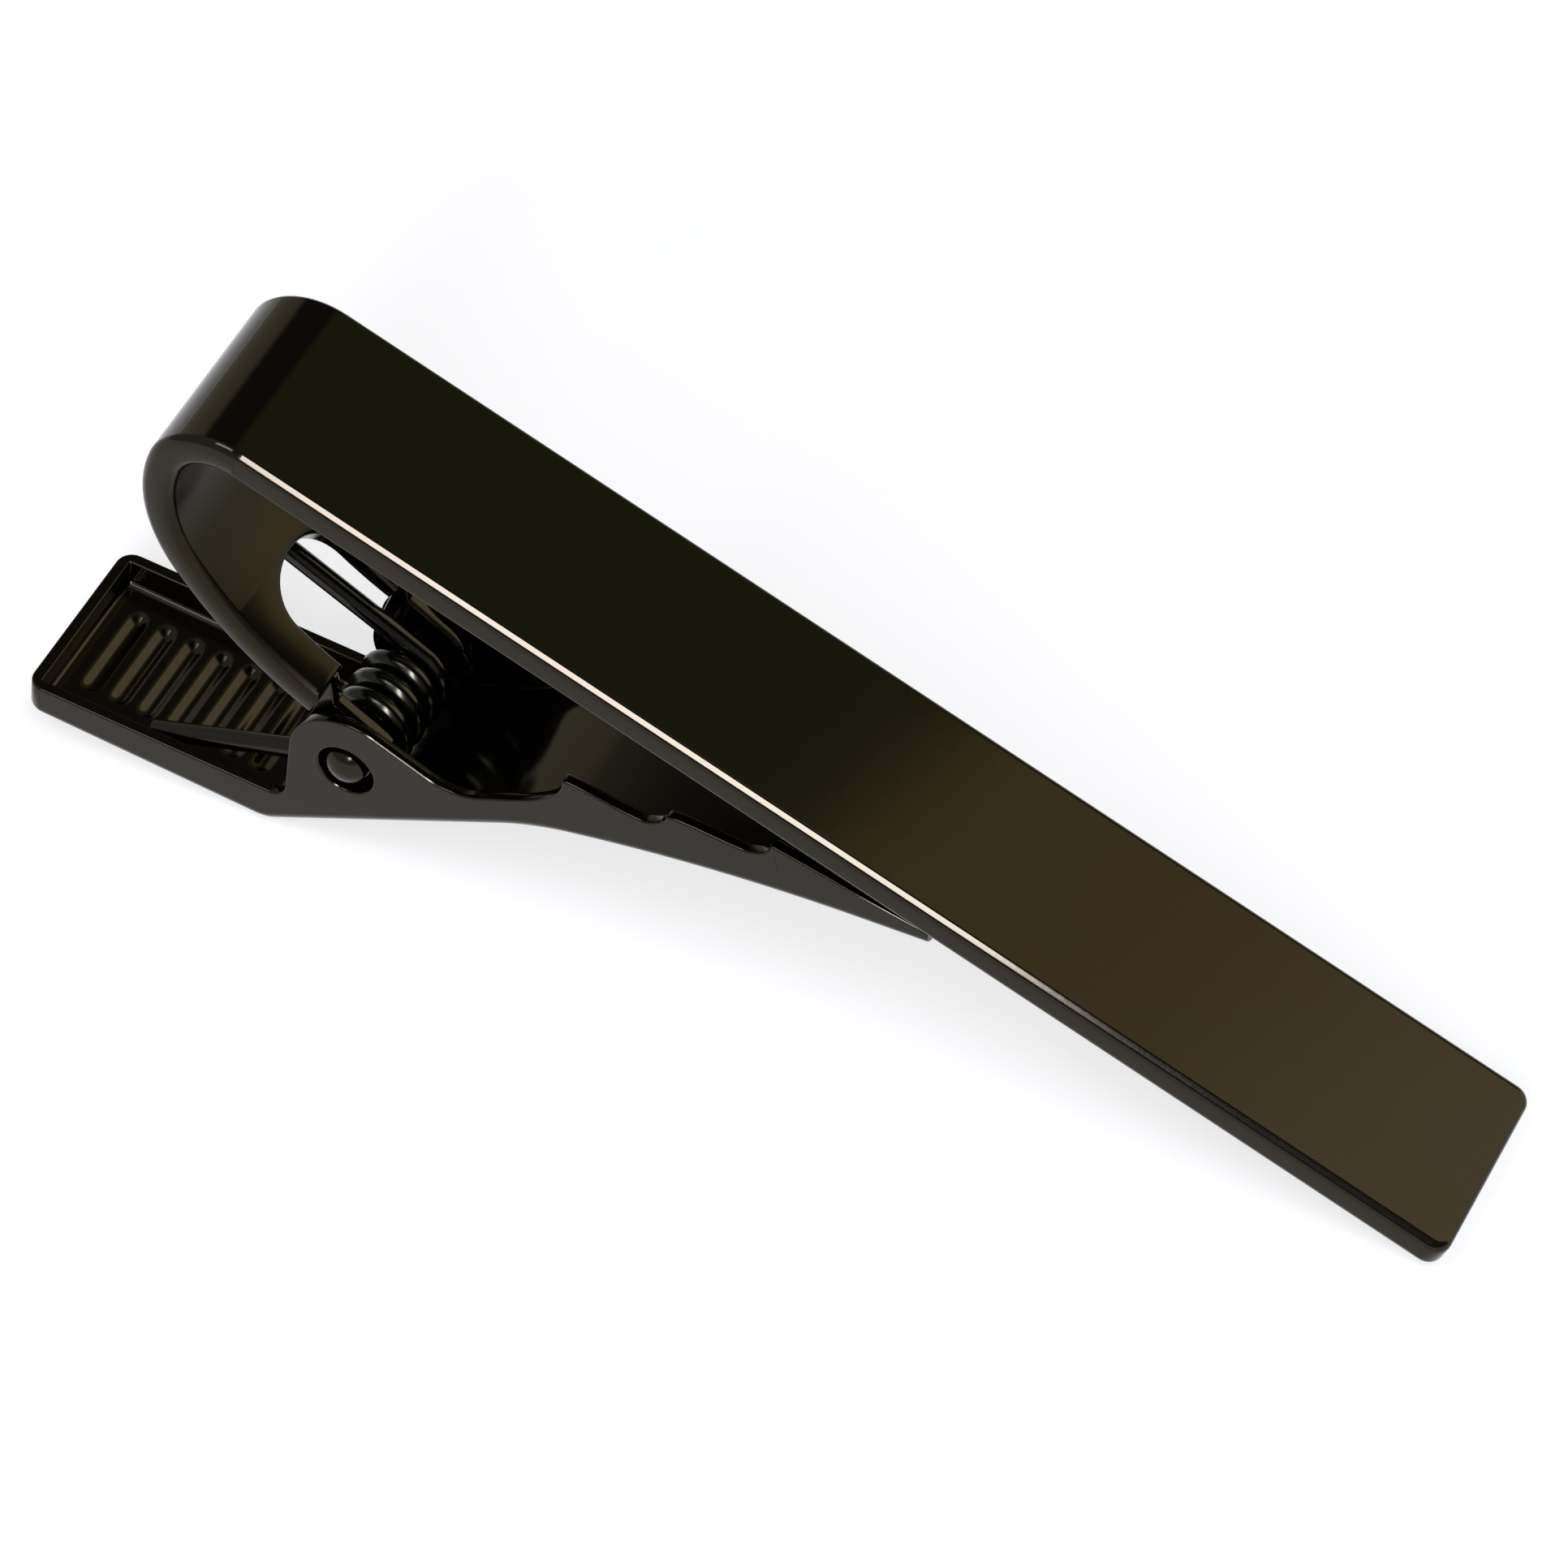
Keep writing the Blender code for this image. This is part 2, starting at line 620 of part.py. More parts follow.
def report_places(frame):
    """Prints, in world metres, the places that a user of the part needs."""
    world = frame.matrix_world
    spots = {
        "hinge axis": Vector((PIN_PLACE.x, 0, PIN_PLACE.y)),
        "middle of the front face": Vector((BAR_LENGTH / 2, 0, 0)),
        "bar frame origin": Vector((0, 0, 0)),
        "free end": Vector((BAR_LENGTH, 0, 0)),
    }
    for name, spot in spots.items():
        print(name, [round(value, 7) for value in world @ spot])
    face = world.to_3x3() @ Vector((0, 0, 1))
    print("front face normal", [round(value, 7) for value in face])
    print("tilt", round(math.degrees(table_tilt()), 4), "lever pitch", round(math.degrees(lever_pitch()), 4))


def main():
    clear_scene()
    frame = bpy.data.objects.new("tie_bar", None)
    bpy.context.scene.collection.objects.link(frame)
    pieces = [
        build_front_bar(frame, metal("bar_black_nickel", BLACK_NICKEL, 0.12)),
        build_clasp_lever(frame, metal("lever_black_nickel", BLACK_NICKEL, 0.16)),
        build_pivot_pin(frame, metal("pin_black_nickel", BLACK_NICKEL, 0.2)),
        build_torsion_spring(frame, metal("spring_black_steel", SPRING_STEEL, 0.25)),
    ]
    lay_on_table(frame, pieces)
    report_places(frame)


main()
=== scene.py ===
"""Looks of a sprung tie bar: bent front bar, pinch clasp lever, pivot pin and torsion spring.

The pieces are drawn in the bar's own frame, as a maker would draw them: +X from the bend to the
free end, +Y across the bar, +Z out of its front, which is at zero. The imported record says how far
the bar leans on the table and where its pin is, and that places every piece in the world.
"""

from __future__ import annotations

import json
import logging
import math
from dataclasses import dataclass
from enum import Enum
from typing import Any, Callable, Iterable

import bmesh
import bpy
from bmesh.types import BMesh, BMFace, BMVert
from bpy.types import Material, Node, NodesModifier, NodeSocket, NodeTree, Object
from mathutils import Matrix, Vector

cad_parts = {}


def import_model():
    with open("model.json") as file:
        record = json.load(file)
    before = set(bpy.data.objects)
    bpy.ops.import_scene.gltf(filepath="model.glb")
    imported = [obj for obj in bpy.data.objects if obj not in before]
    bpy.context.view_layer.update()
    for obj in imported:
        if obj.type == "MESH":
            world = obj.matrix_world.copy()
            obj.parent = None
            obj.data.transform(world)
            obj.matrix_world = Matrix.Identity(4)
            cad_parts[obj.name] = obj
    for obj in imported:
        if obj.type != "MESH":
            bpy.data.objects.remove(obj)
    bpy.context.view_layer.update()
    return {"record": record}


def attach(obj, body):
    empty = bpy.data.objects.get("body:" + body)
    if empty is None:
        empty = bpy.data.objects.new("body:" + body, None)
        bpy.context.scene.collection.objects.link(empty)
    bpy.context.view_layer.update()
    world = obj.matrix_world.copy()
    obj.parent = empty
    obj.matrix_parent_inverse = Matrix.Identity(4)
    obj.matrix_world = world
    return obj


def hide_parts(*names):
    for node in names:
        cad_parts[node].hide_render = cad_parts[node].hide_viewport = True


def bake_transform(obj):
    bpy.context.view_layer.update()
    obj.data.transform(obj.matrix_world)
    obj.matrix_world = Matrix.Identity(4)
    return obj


LOG = logging.getLogger("tie_bar")
MM = 0.001
QUARTER_TURN = math.radians(90)
# How far off a level a point may lie and still be on it, and how near to a cut it moves on to it.
LEVEL_SLACK = 2e-6
CUT_SLACK = 1e-9
# The map whose first number runs from zero at the front of the strip to one at its back.
SIDES = "sides"
WHITE = "#ffffff"
BENDS = ("Leg", "Heel", "Crown")
BEND_SIZES = ("Start", "Radius", "Turn")
RIDGE_SIZES = ("Level", "Start", "Pitch", "Last", "Half Length", "Half Width", "Depth")

FaceTest = Callable[[BMFace], bool]
Colour = tuple[float, float, float, float]


class Body(Enum):
    """The two bodies that the hinge joins."""

    BAR = "bar"
    CLASP = "clasp"


class Joining(Enum):
    """What is done to a piece with another solid."""

    WELD = "UNION"
    CUT = "DIFFERENCE"


class SharpAngle(Enum):
    """From what angle between its faces an edge counts as sharp."""

    IN_THE_ROUGH = math.radians(40)
    FINISHED = math.radians(45)
    STAMPED = math.radians(50)


class Axis(Enum):
    """An axis of the bar's frame, by its place in a vector."""

    ACROSS = 1
    UP = 2


def to_linear(hex_colour: str) -> Colour:
    """Turns an sRGB hex colour into the linear values that the shaders use.

    Args:
        hex_colour: six hex digits with a hash sign before them.

    Returns:
        Red, green, blue and a full alpha.
    """
    shares = [int(hex_colour[place : place + 2], 16) / 255 for place in (1, 3, 5)]
    linear = [share / 12.92 if share <= 0.04045 else ((share + 0.055) / 1.055) ** 2.4 for share in shares]
    return (*linear, 1.0)


def glow(hex_colour: str, strength: float) -> Colour:
    """A colour of light, a number of times as bright as a white card in plain light."""
    red, green, blue, _ = to_linear(hex_colour)
    return (red * strength, green * strength, blue * strength, 1.0)


def add_node(
    tree: NodeTree, kind: str, links: dict[int | str, Any] | None = None, **settings: Any
) -> Node:
    """Adds a node with its settings, and joins or sets its inputs.

    Args:
        tree: the tree that gets the node.
        kind: Blender's name for the kind of node.
        links: for each input, by name or number, its value, the socket that feeds it, or the node
            whose first output feeds it.
        **settings: the node's own properties.

    Returns:
        The new node.
    """
    node = tree.nodes.new(kind)
    for name, value in settings.items():
        setattr(node, name, value)
    for place, source in (links or {}).items():
        if isinstance(source, Node):
            source = source.outputs[0]
        if isinstance(source, NodeSocket):
            tree.links.new(source, node.inputs[place])
        else:
            node.inputs[place].default_value = source
    return node


# Paths in the side view


@dataclass(frozen=True)
class Stretch:
    """A straight stretch of a path, or a round one if it turns. A positive turn goes left."""

    length: float = 0.0
    radius: float = 0.0
    turn: float = 0.0
    steps: int = 1


def heading_vector(heading: float) -> Vector:
    """The unit vector that points along a heading in the side view."""
    return Vector((math.cos(heading), math.sin(heading)))


def left_of(heading: float) -> Vector:
    """The unit vector to the left of a heading in the side view."""
    return Vector((-math.sin(heading), math.cos(heading)))


def in_space(point: Vector, across: float) -> Vector:
    """A point of the side view, at a distance across the bar."""
    return Vector((point.x, across, point.y))


def walk(
    start: Vector, heading: float, stretches: list[Stretch], offset: float = 0.0
) -> tuple[list[Vector], Vector, float]:
    """Follows a path in the side view.

    Args:
        start: where the path begins.
        heading: the way it points there.
        stretches: its straight and round stretches in order.
        offset: how far to the left of the path the points lie.

    Returns:
        The points, where the path itself ends, and the heading there.
    """
    place = start.copy()
    points = [place + left_of(heading) * offset]
    for stretch in stretches:
        if not stretch.turn:
            first = place
            for step in range(1, stretch.steps + 1):
                place = first + heading_vector(heading) * (stretch.length * step / stretch.steps)
                points.append(place + left_of(heading) * offset)
            continue
        side = math.copysign(stretch.radius, stretch.turn)
        centre = place + left_of(heading) * side
        for step in range(1, stretch.steps + 1):
            angle = heading + stretch.turn * step / stretch.steps
            points.append(centre - left_of(angle) * (side - offset))
        heading += stretch.turn
        place = centre - left_of(heading) * side
    return points, place, heading


def arc(centre: Vector, radius: float, first: float, last: float, steps: int) -> list[Vector]:
    """Points on a circle from one angle to another, both ends included."""
    angles = [first + (last - first) * step / steps for step in range(steps + 1)]
    return [centre + heading_vector(angle) * radius for angle in angles]


def ring(centre: Vector, radius: float, sides: int) -> list[Vector]:
    """Points all round a circle, each of them once."""
    return arc(centre, radius, 0, math.tau * (sides - 1) / sides, sides - 1)


def tangent_angle(point: Vector, centre: Vector, radius: float, side: int) -> float:
    """The angle on a circle where a line from point touches it: side is 1 or -1."""
    away = point - centre
    return math.atan2(away.y, away.x) + side * math.acos(radius / away.length)


def fillet(before: Vector, corner: Vector, after: Vector, radius: float, steps: int) -> list[Vector]:
    """Rounds a corner between two straight lines.

    Args:
        before: a point on the line that comes in.
        corner: where the lines meet.
        after: a point on the line that goes out.
        radius: the radius of the round.
        steps: the number of its straight sides.

    Returns:
        The points that take the corner's place.
    """
    back = (before - corner).normalized()
    ahead = (after - corner).normalized()
    half = back.angle(ahead) / 2
    centre = corner + (back + ahead).normalized() * radius / math.sin(half)
    spoke = corner + back * radius / math.tan(half) - centre
    first = math.atan2(spoke.y, spoke.x)
    side = -math.copysign(1, back.cross(ahead))
    return arc(centre, radius, first, first + (math.pi - half * 2) * side, steps)


def cut_corners(points: list[Vector], rounds: int) -> list[Vector]:
    """Softens a line by cutting each corner at a quarter of its sides.

    Args:
        points: the line's points.
        rounds: how often this is done.

    Returns:
        The softer line's points, with the same ends.
    """
    for _ in range(rounds):
        softened = [points[0]]
        for one, two in zip(points, points[1:]):
            softened += [one.lerp(two, 0.25), one.lerp(two, 0.75)]
        softened.append(points[-1])
        points = softened
    return points


def rise(start: float, low: float, end: float, high: float, steps: int) -> list[tuple[float, float]]:
    """A hollow curve that leaves level and ends steep.

    Args:
        start: the station where it begins.
        low: its height there.
        end: the station where it ends.
        high: its height there.
        steps: the number of its straight sides.

    Returns:
        Its points as stations and heights.
    """
    angles = [QUARTER_TURN * step / steps for step in range(steps + 1)]
    return [
        (start + (end - start) * math.sin(angle), low + (high - low) * (1 - math.cos(angle)))
        for angle in angles
    ]


# Meshes


def solid(outline: list[Vector], depth: Vector) -> BMesh:
    """Draws a flat outline out into a closed solid.

    Args:
        outline: the outline's points in space.
        depth: how far it is drawn out, and which way.

    Returns:
        The solid.
    """
    builder = bmesh.new()
    face = builder.faces.new([builder.verts.new(point) for point in outline])
    grown = bmesh.ops.extrude_face_region(builder, geom=[face])["geom"]
    moved = [item for item in grown if isinstance(item, BMVert)]
    bmesh.ops.translate(builder, verts=moved, vec=depth)
    bmesh.ops.recalc_face_normals(builder, faces=builder.faces)
    return builder


def prism(outline: list[Vector], low: float, high: float) -> BMesh:
    """A closed solid of a side-view outline, drawn out across the bar from low to high."""
    return solid([in_space(point, low) for point in outline], Vector((0, high - low, 0)))


def faces_facing(axis: Axis, least: float = 0.9) -> FaceTest:
    """A test for the faces that look along an axis, either way."""
    return lambda face: abs(face.normal[axis.value]) > least


def faces_beside(axis: Axis, most: float = 0.1) -> FaceTest:
    """A test for the faces that lie along an axis."""
    return lambda face: abs(face.normal[axis.value]) < most


def bevel_where(builder: BMesh, offset: float, segments: int, first: FaceTest, second: FaceTest) -> None:
    """Rounds the edges between two kinds of faces.

    Args:
        builder: the closed solid.
        offset: how far from the edge the round begins.
        segments: the number of its flat strips.
        first: the test for the faces on one side.
        second: the test for the faces on the other side.
    """
    chosen = []
    for edge in builder.edges:
        one, two = edge.link_faces
        if (first(one) and second(two)) or (first(two) and second(one)):
            chosen.append(edge)
    bmesh.ops.bevel(builder, geom=chosen, offset=offset, segments=segments, profile=0.5, affect="EDGES")
    bmesh.ops.recalc_face_normals(builder, faces=builder.faces)


def slice_along(builder: BMesh, faces: Iterable[BMFace], place: Vector, normal: Vector) -> None:
    """Cuts faces of a mesh along a plane, and leaves both sides joined.

    Args:
        builder: the mesh.
        faces: the faces that are cut.
        place: a point on the plane.
        normal: the way that the plane looks.
    """
    chosen = list(faces)
    edges = {edge for face in chosen for edge in face.edges}
    verts = {vert for face in chosen for vert in face.verts}
    geometry = [*chosen, *edges, *verts]
    bmesh.ops.bisect_plane(builder, geom=geometry, dist=CUT_SLACK, plane_co=place, plane_no=normal)


def mesh_object(name: str, builder: BMesh) -> Object:
    """Makes an object from a bmesh, shaded smooth but for its sharp edges.

    Args:
        name: the object's name.
        builder: the bmesh, which is freed.

    Returns:
        The object.
    """
    bmesh.ops.recalc_face_normals(builder, faces=builder.faces)
    mesh = bpy.data.meshes.new(name)
    builder.to_mesh(mesh)
    builder.free()
    mesh.shade_smooth()
    mesh.set_sharp_from_angle(angle=SharpAngle.IN_THE_ROUGH.value)
    obj = bpy.data.objects.new(name, mesh)
    bpy.context.scene.collection.objects.link(obj)
    return obj


def bake(obj: Object) -> Object:
    """Turns an object's modifiers into plain mesh, and removes them.

    Args:
        obj: a mesh or curve object.

    Returns:
        The object that holds the plain mesh, which is a new one if obj was a curve.
    """
    bpy.context.view_layer.update()
    graph = bpy.context.evaluated_depsgraph_get()
    evaluated = obj.evaluated_get(graph)
    mesh = bpy.data.meshes.new_from_object(evaluated, preserve_all_data_layers=True, depsgraph=graph)
    if obj.type == "MESH":
        obj.modifiers.clear()
        obj.data = mesh
        return obj
    name = obj.name
    bpy.data.objects.remove(obj, do_unlink=True)
    mesh.name = name
    plain = bpy.data.objects.new(name, mesh)
    bpy.context.scene.collection.objects.link(plain)
    return plain


def combine(obj: Object, other: Object, joining: Joining) -> None:
    """Welds another object to a piece or cuts it away, and removes the other object.

    Args:
        obj: the piece.
        other: the object that is used up.
        joining: what is done with it.
    """
    modifier = obj.modifiers.new(joining.name.lower(), "BOOLEAN")
    modifier.operation = joining.value
    modifier.object = other
    modifier.solver = "EXACT"
    bake(obj)
    bpy.data.objects.remove(other, do_unlink=True)


def rod(name: str, radius: float, half_length: float, centre: Vector, sides: int) -> Object:
    """A plain round bar across the tie bar, for cutting holes."""
    return mesh_object(name, prism(ring(centre, radius, sides), -half_length, half_length))


def round_edges(obj: Object, width: float, segments: int) -> None:
    """Rounds the sharp edges of a stamped piece, as the barrel does.

    Args:
        obj: the piece.
        width: how far from an edge its round begins.
        segments: the number of flat strips in a round.
    """
    bevel = obj.modifiers.new("edge_round", "BEVEL")
    bevel.width = width
    bevel.segments = segments
    bevel.limit_method = "ANGLE"
    bevel.angle_limit = SharpAngle.STAMPED.value
    bevel.use_clamp_overlap = False
    bevel.harden_normals = False
    bake(obj)


def keep_flats_flat(obj: Object) -> None:
    """Leans the shading towards large faces, so that a round edge doesn't tint the flat by it.

    Args:
        obj: the piece.
    """
    obj.data.shade_smooth()
    obj.data.set_sharp_from_angle(angle=SharpAngle.FINISHED.value)
    weighted = obj.modifiers.new("weighted", "WEIGHTED_NORMAL")
    weighted.mode = "FACE_AREA"
    weighted.weight = 100
    weighted.keep_sharp = True
    bake(obj)


# Geometry trees


def run_tree(obj: Object, tree: NodeTree, values: dict[str, Any]) -> Object:
    """Runs a geometry tree on an object, and keeps the plain result.

    Args:
        obj: a mesh or curve object.
        tree: the tree.
        values: the tree's inputs by name, which are set by the identifiers of their sockets.

    Returns:
        The object that holds the plain mesh.
    """
    modifier: NodesModifier = obj.modifiers.new(tree.name, "NODES")
    modifier.node_group = tree
    for item in tree.interface.items_tree:
        if item.item_type == "SOCKET" and item.in_out == "INPUT" and item.name in values:
            modifier[item.identifier] = values[item.name]
    return bake(obj)


def new_tree(name: str, floats: Iterable[str], with_material: bool = True) -> tuple[NodeTree, Node, Node]:
    """Starts a geometry tree with a geometry input and output, and named number inputs.

    Args:
        name: the tree's name.
        floats: the names of its number inputs.
        with_material: whether it takes a material too.

    Returns:
        The tree, its input node and its output node.
    """
    tree = bpy.data.node_groups.new(name, "GeometryNodeTree")
    tree.interface.new_socket("Geometry", in_out="INPUT", socket_type="NodeSocketGeometry")
    tree.interface.new_socket("Geometry", in_out="OUTPUT", socket_type="NodeSocketGeometry")
    for title in floats:
        tree.interface.new_socket(title, in_out="INPUT", socket_type="NodeSocketFloat")
    if with_material:
        tree.interface.new_socket("Finish", in_out="INPUT", socket_type="NodeSocketMaterial")
    return tree, add_node(tree, "NodeGroupInput"), add_node(tree, "NodeGroupOutput")


def end_tree(tree: NodeTree, given: Node, result: Node, shape: Node) -> None:
    """Ends a tree in real geometry that has its material.

    Args:
        tree: the tree.
        given: its input node.
        result: its output node.
        shape: the node whose first output is the geometry.
    """
    real = add_node(tree, "GeometryNodeRealizeInstances", {"Geometry": shape})
    links = {"Geometry": real, "Material": given.outputs["Finish"]}
    dressed = add_node(tree, "GeometryNodeSetMaterial", links)
    tree.links.new(dressed.outputs[0], result.inputs[0])


def one_bend_tree() -> NodeTree:
    """A tree that bends a flat strip about one round bar, as a press brake does.

    The strip runs towards -X with its front at zero height. What lies past Start wraps down on to
    the Radius, measured at the front, for Turn radians, and then runs on straight.

    Returns:
        The tree, which takes no material.
    """
    tree, given, result = new_tree("bend_once", BEND_SIZES, with_material=False)
    start, radius, turn = (given.outputs[size] for size in BEND_SIZES)
    place = add_node(tree, "ShaderNodeSeparateXYZ", {0: add_node(tree, "GeometryNodeInputPosition")})
    beyond = add_node(tree, "ShaderNodeMath", {0: start, 1: place.outputs["X"]}, operation="SUBTRACT")
    angle = add_node(tree, "ShaderNodeMath", {0: beyond, 1: radius}, operation="DIVIDE")
    held = add_node(tree, "ShaderNodeClamp", {"Value": angle, "Min": 0.0, "Max": turn})
    used = add_node(tree, "ShaderNodeMath", {0: held, 1: radius}, operation="MULTIPLY")
    level = add_node(tree, "ShaderNodeMath", {0: place.outputs["X"], 1: used}, operation="ADD")
    links = {"X": level, "Y": place.outputs["Y"], "Z": place.outputs["Z"]}
    drawn = add_node(tree, "ShaderNodeCombineXYZ", links)
    below = add_node(tree, "ShaderNodeMath", {0: 0.0, 1: radius}, operation="SUBTRACT")
    centre = add_node(tree, "ShaderNodeCombineXYZ", {"X": start, "Z": below})
    back = add_node(tree, "ShaderNodeMath", {0: 0.0, 1: held}, operation="SUBTRACT")
    links = {"Vector": drawn, "Center": centre, "Angle": back}
    turned = add_node(tree, "ShaderNodeVectorRotate", links, rotation_type="Y_AXIS")
    moved = add_node(tree, "GeometryNodeSetPosition", {"Geometry": given, "Position": turned})
    tree.links.new(moved.outputs[0], result.inputs[0])
    return tree


def strip_bending_tree() -> NodeTree:
    """A tree that bends a flat blank three times: at the leg, then the heel, then the crown.

    Returns:
        The tree.
    """
    names = [f"{part} {size}" for part in BENDS for size in BEND_SIZES]
    tree, given, result = new_tree("bent_strip", names)
    once = one_bend_tree()
    shape = given
    for part in BENDS:
        links = {size: given.outputs[f"{part} {size}"] for size in BEND_SIZES}
        shape = add_node(tree, "GeometryNodeGroup", {"Geometry": shape, **links}, node_tree=once)
    end_tree(tree, given, result, shape)
    return tree


def pressed_ridges_tree() -> NodeTree:
    """A tree that presses a row of round-ended ridges down through a level sheet.

    The sheet's surface is at height Level, the row runs along X from Start, and each ridge lies
    across, along Y. Only points of that surface move.

    Returns:
        The tree.
    """
    tree, given, result = new_tree("pressed_ridges", RIDGE_SIZES)
    level, start, pitch, last, half_length, half_width, depth = (given.outputs[size] for size in RIDGE_SIZES)
    place = add_node(tree, "ShaderNodeSeparateXYZ", {0: add_node(tree, "GeometryNodeInputPosition")})
    along = add_node(tree, "ShaderNodeMath", {0: place.outputs["X"], 1: start}, operation="SUBTRACT")
    count = add_node(tree, "ShaderNodeMath", {0: along, 1: pitch}, operation="DIVIDE")
    whole = add_node(tree, "ShaderNodeMath", {0: count}, operation="ROUND")
    nearest = add_node(tree, "ShaderNodeClamp", {"Value": whole, "Min": 0.0, "Max": last})
    middle = add_node(tree, "ShaderNodeMath", {0: nearest, 1: pitch}, operation="MULTIPLY")
    off = add_node(tree, "ShaderNodeMath", {0: along, 1: middle}, operation="SUBTRACT")
    side = add_node(tree, "ShaderNodeMath", {0: place.outputs["Y"]}, operation="ABSOLUTE")
    straight = add_node(tree, "ShaderNodeMath", {0: half_length, 1: half_width}, operation="SUBTRACT")
    past = add_node(tree, "ShaderNodeMath", {0: side, 1: straight}, operation="SUBTRACT")
    outside = add_node(tree, "ShaderNodeMath", {0: past, 1: 0.0}, operation="MAXIMUM")
    flat = add_node(tree, "ShaderNodeCombineXYZ", {"X": off, "Y": outside})
    away = add_node(tree, "ShaderNodeVectorMath", {0: flat}, operation="LENGTH").outputs["Value"]
    links = {"Value": away, "From Max": half_width, "To Min": 1.0, "To Max": 0.0}
    share = add_node(tree, "ShaderNodeMapRange", links, interpolation_type="SMOOTHSTEP")
    drop = add_node(tree, "ShaderNodeMath", {0: share, 1: depth}, operation="MULTIPLY")
    down = add_node(tree, "ShaderNodeMath", {0: 0.0, 1: drop}, operation="SUBTRACT")
    shift = add_node(tree, "ShaderNodeCombineXYZ", {"Z": down})
    links = {0: place.outputs["Z"], 1: level, 2: LEVEL_SLACK}
    on_level = add_node(tree, "ShaderNodeMath", links, operation="COMPARE")
    links = {"Geometry": given, "Selection": on_level, "Offset": shift}
    moved = add_node(tree, "GeometryNodeSetPosition", links)
    end_tree(tree, given, result, moved)
    return tree


def wire_tree(sides: int) -> NodeTree:
    """A tree that draws round wire along a path, closed at both ends.

    Args:
        sides: the number of flat strips round the wire.

    Returns:
        The tree.
    """
    tree, given, result = new_tree("drawn_wire", ["Wire Radius"])
    links = {"Resolution": sides, "Radius": given.outputs["Wire Radius"]}
    hoop = add_node(tree, "GeometryNodeCurvePrimitiveCircle", links)
    links = {"Curve": given, "Profile Curve": hoop, "Fill Caps": True}
    tube = add_node(tree, "GeometryNodeCurveToMesh", links)
    soft = add_node(tree, "GeometryNodeSetShadeSmooth", {"Geometry": tube, "Shade Smooth": True})
    end_tree(tree, given, result, soft)
    return tree


# Finishes


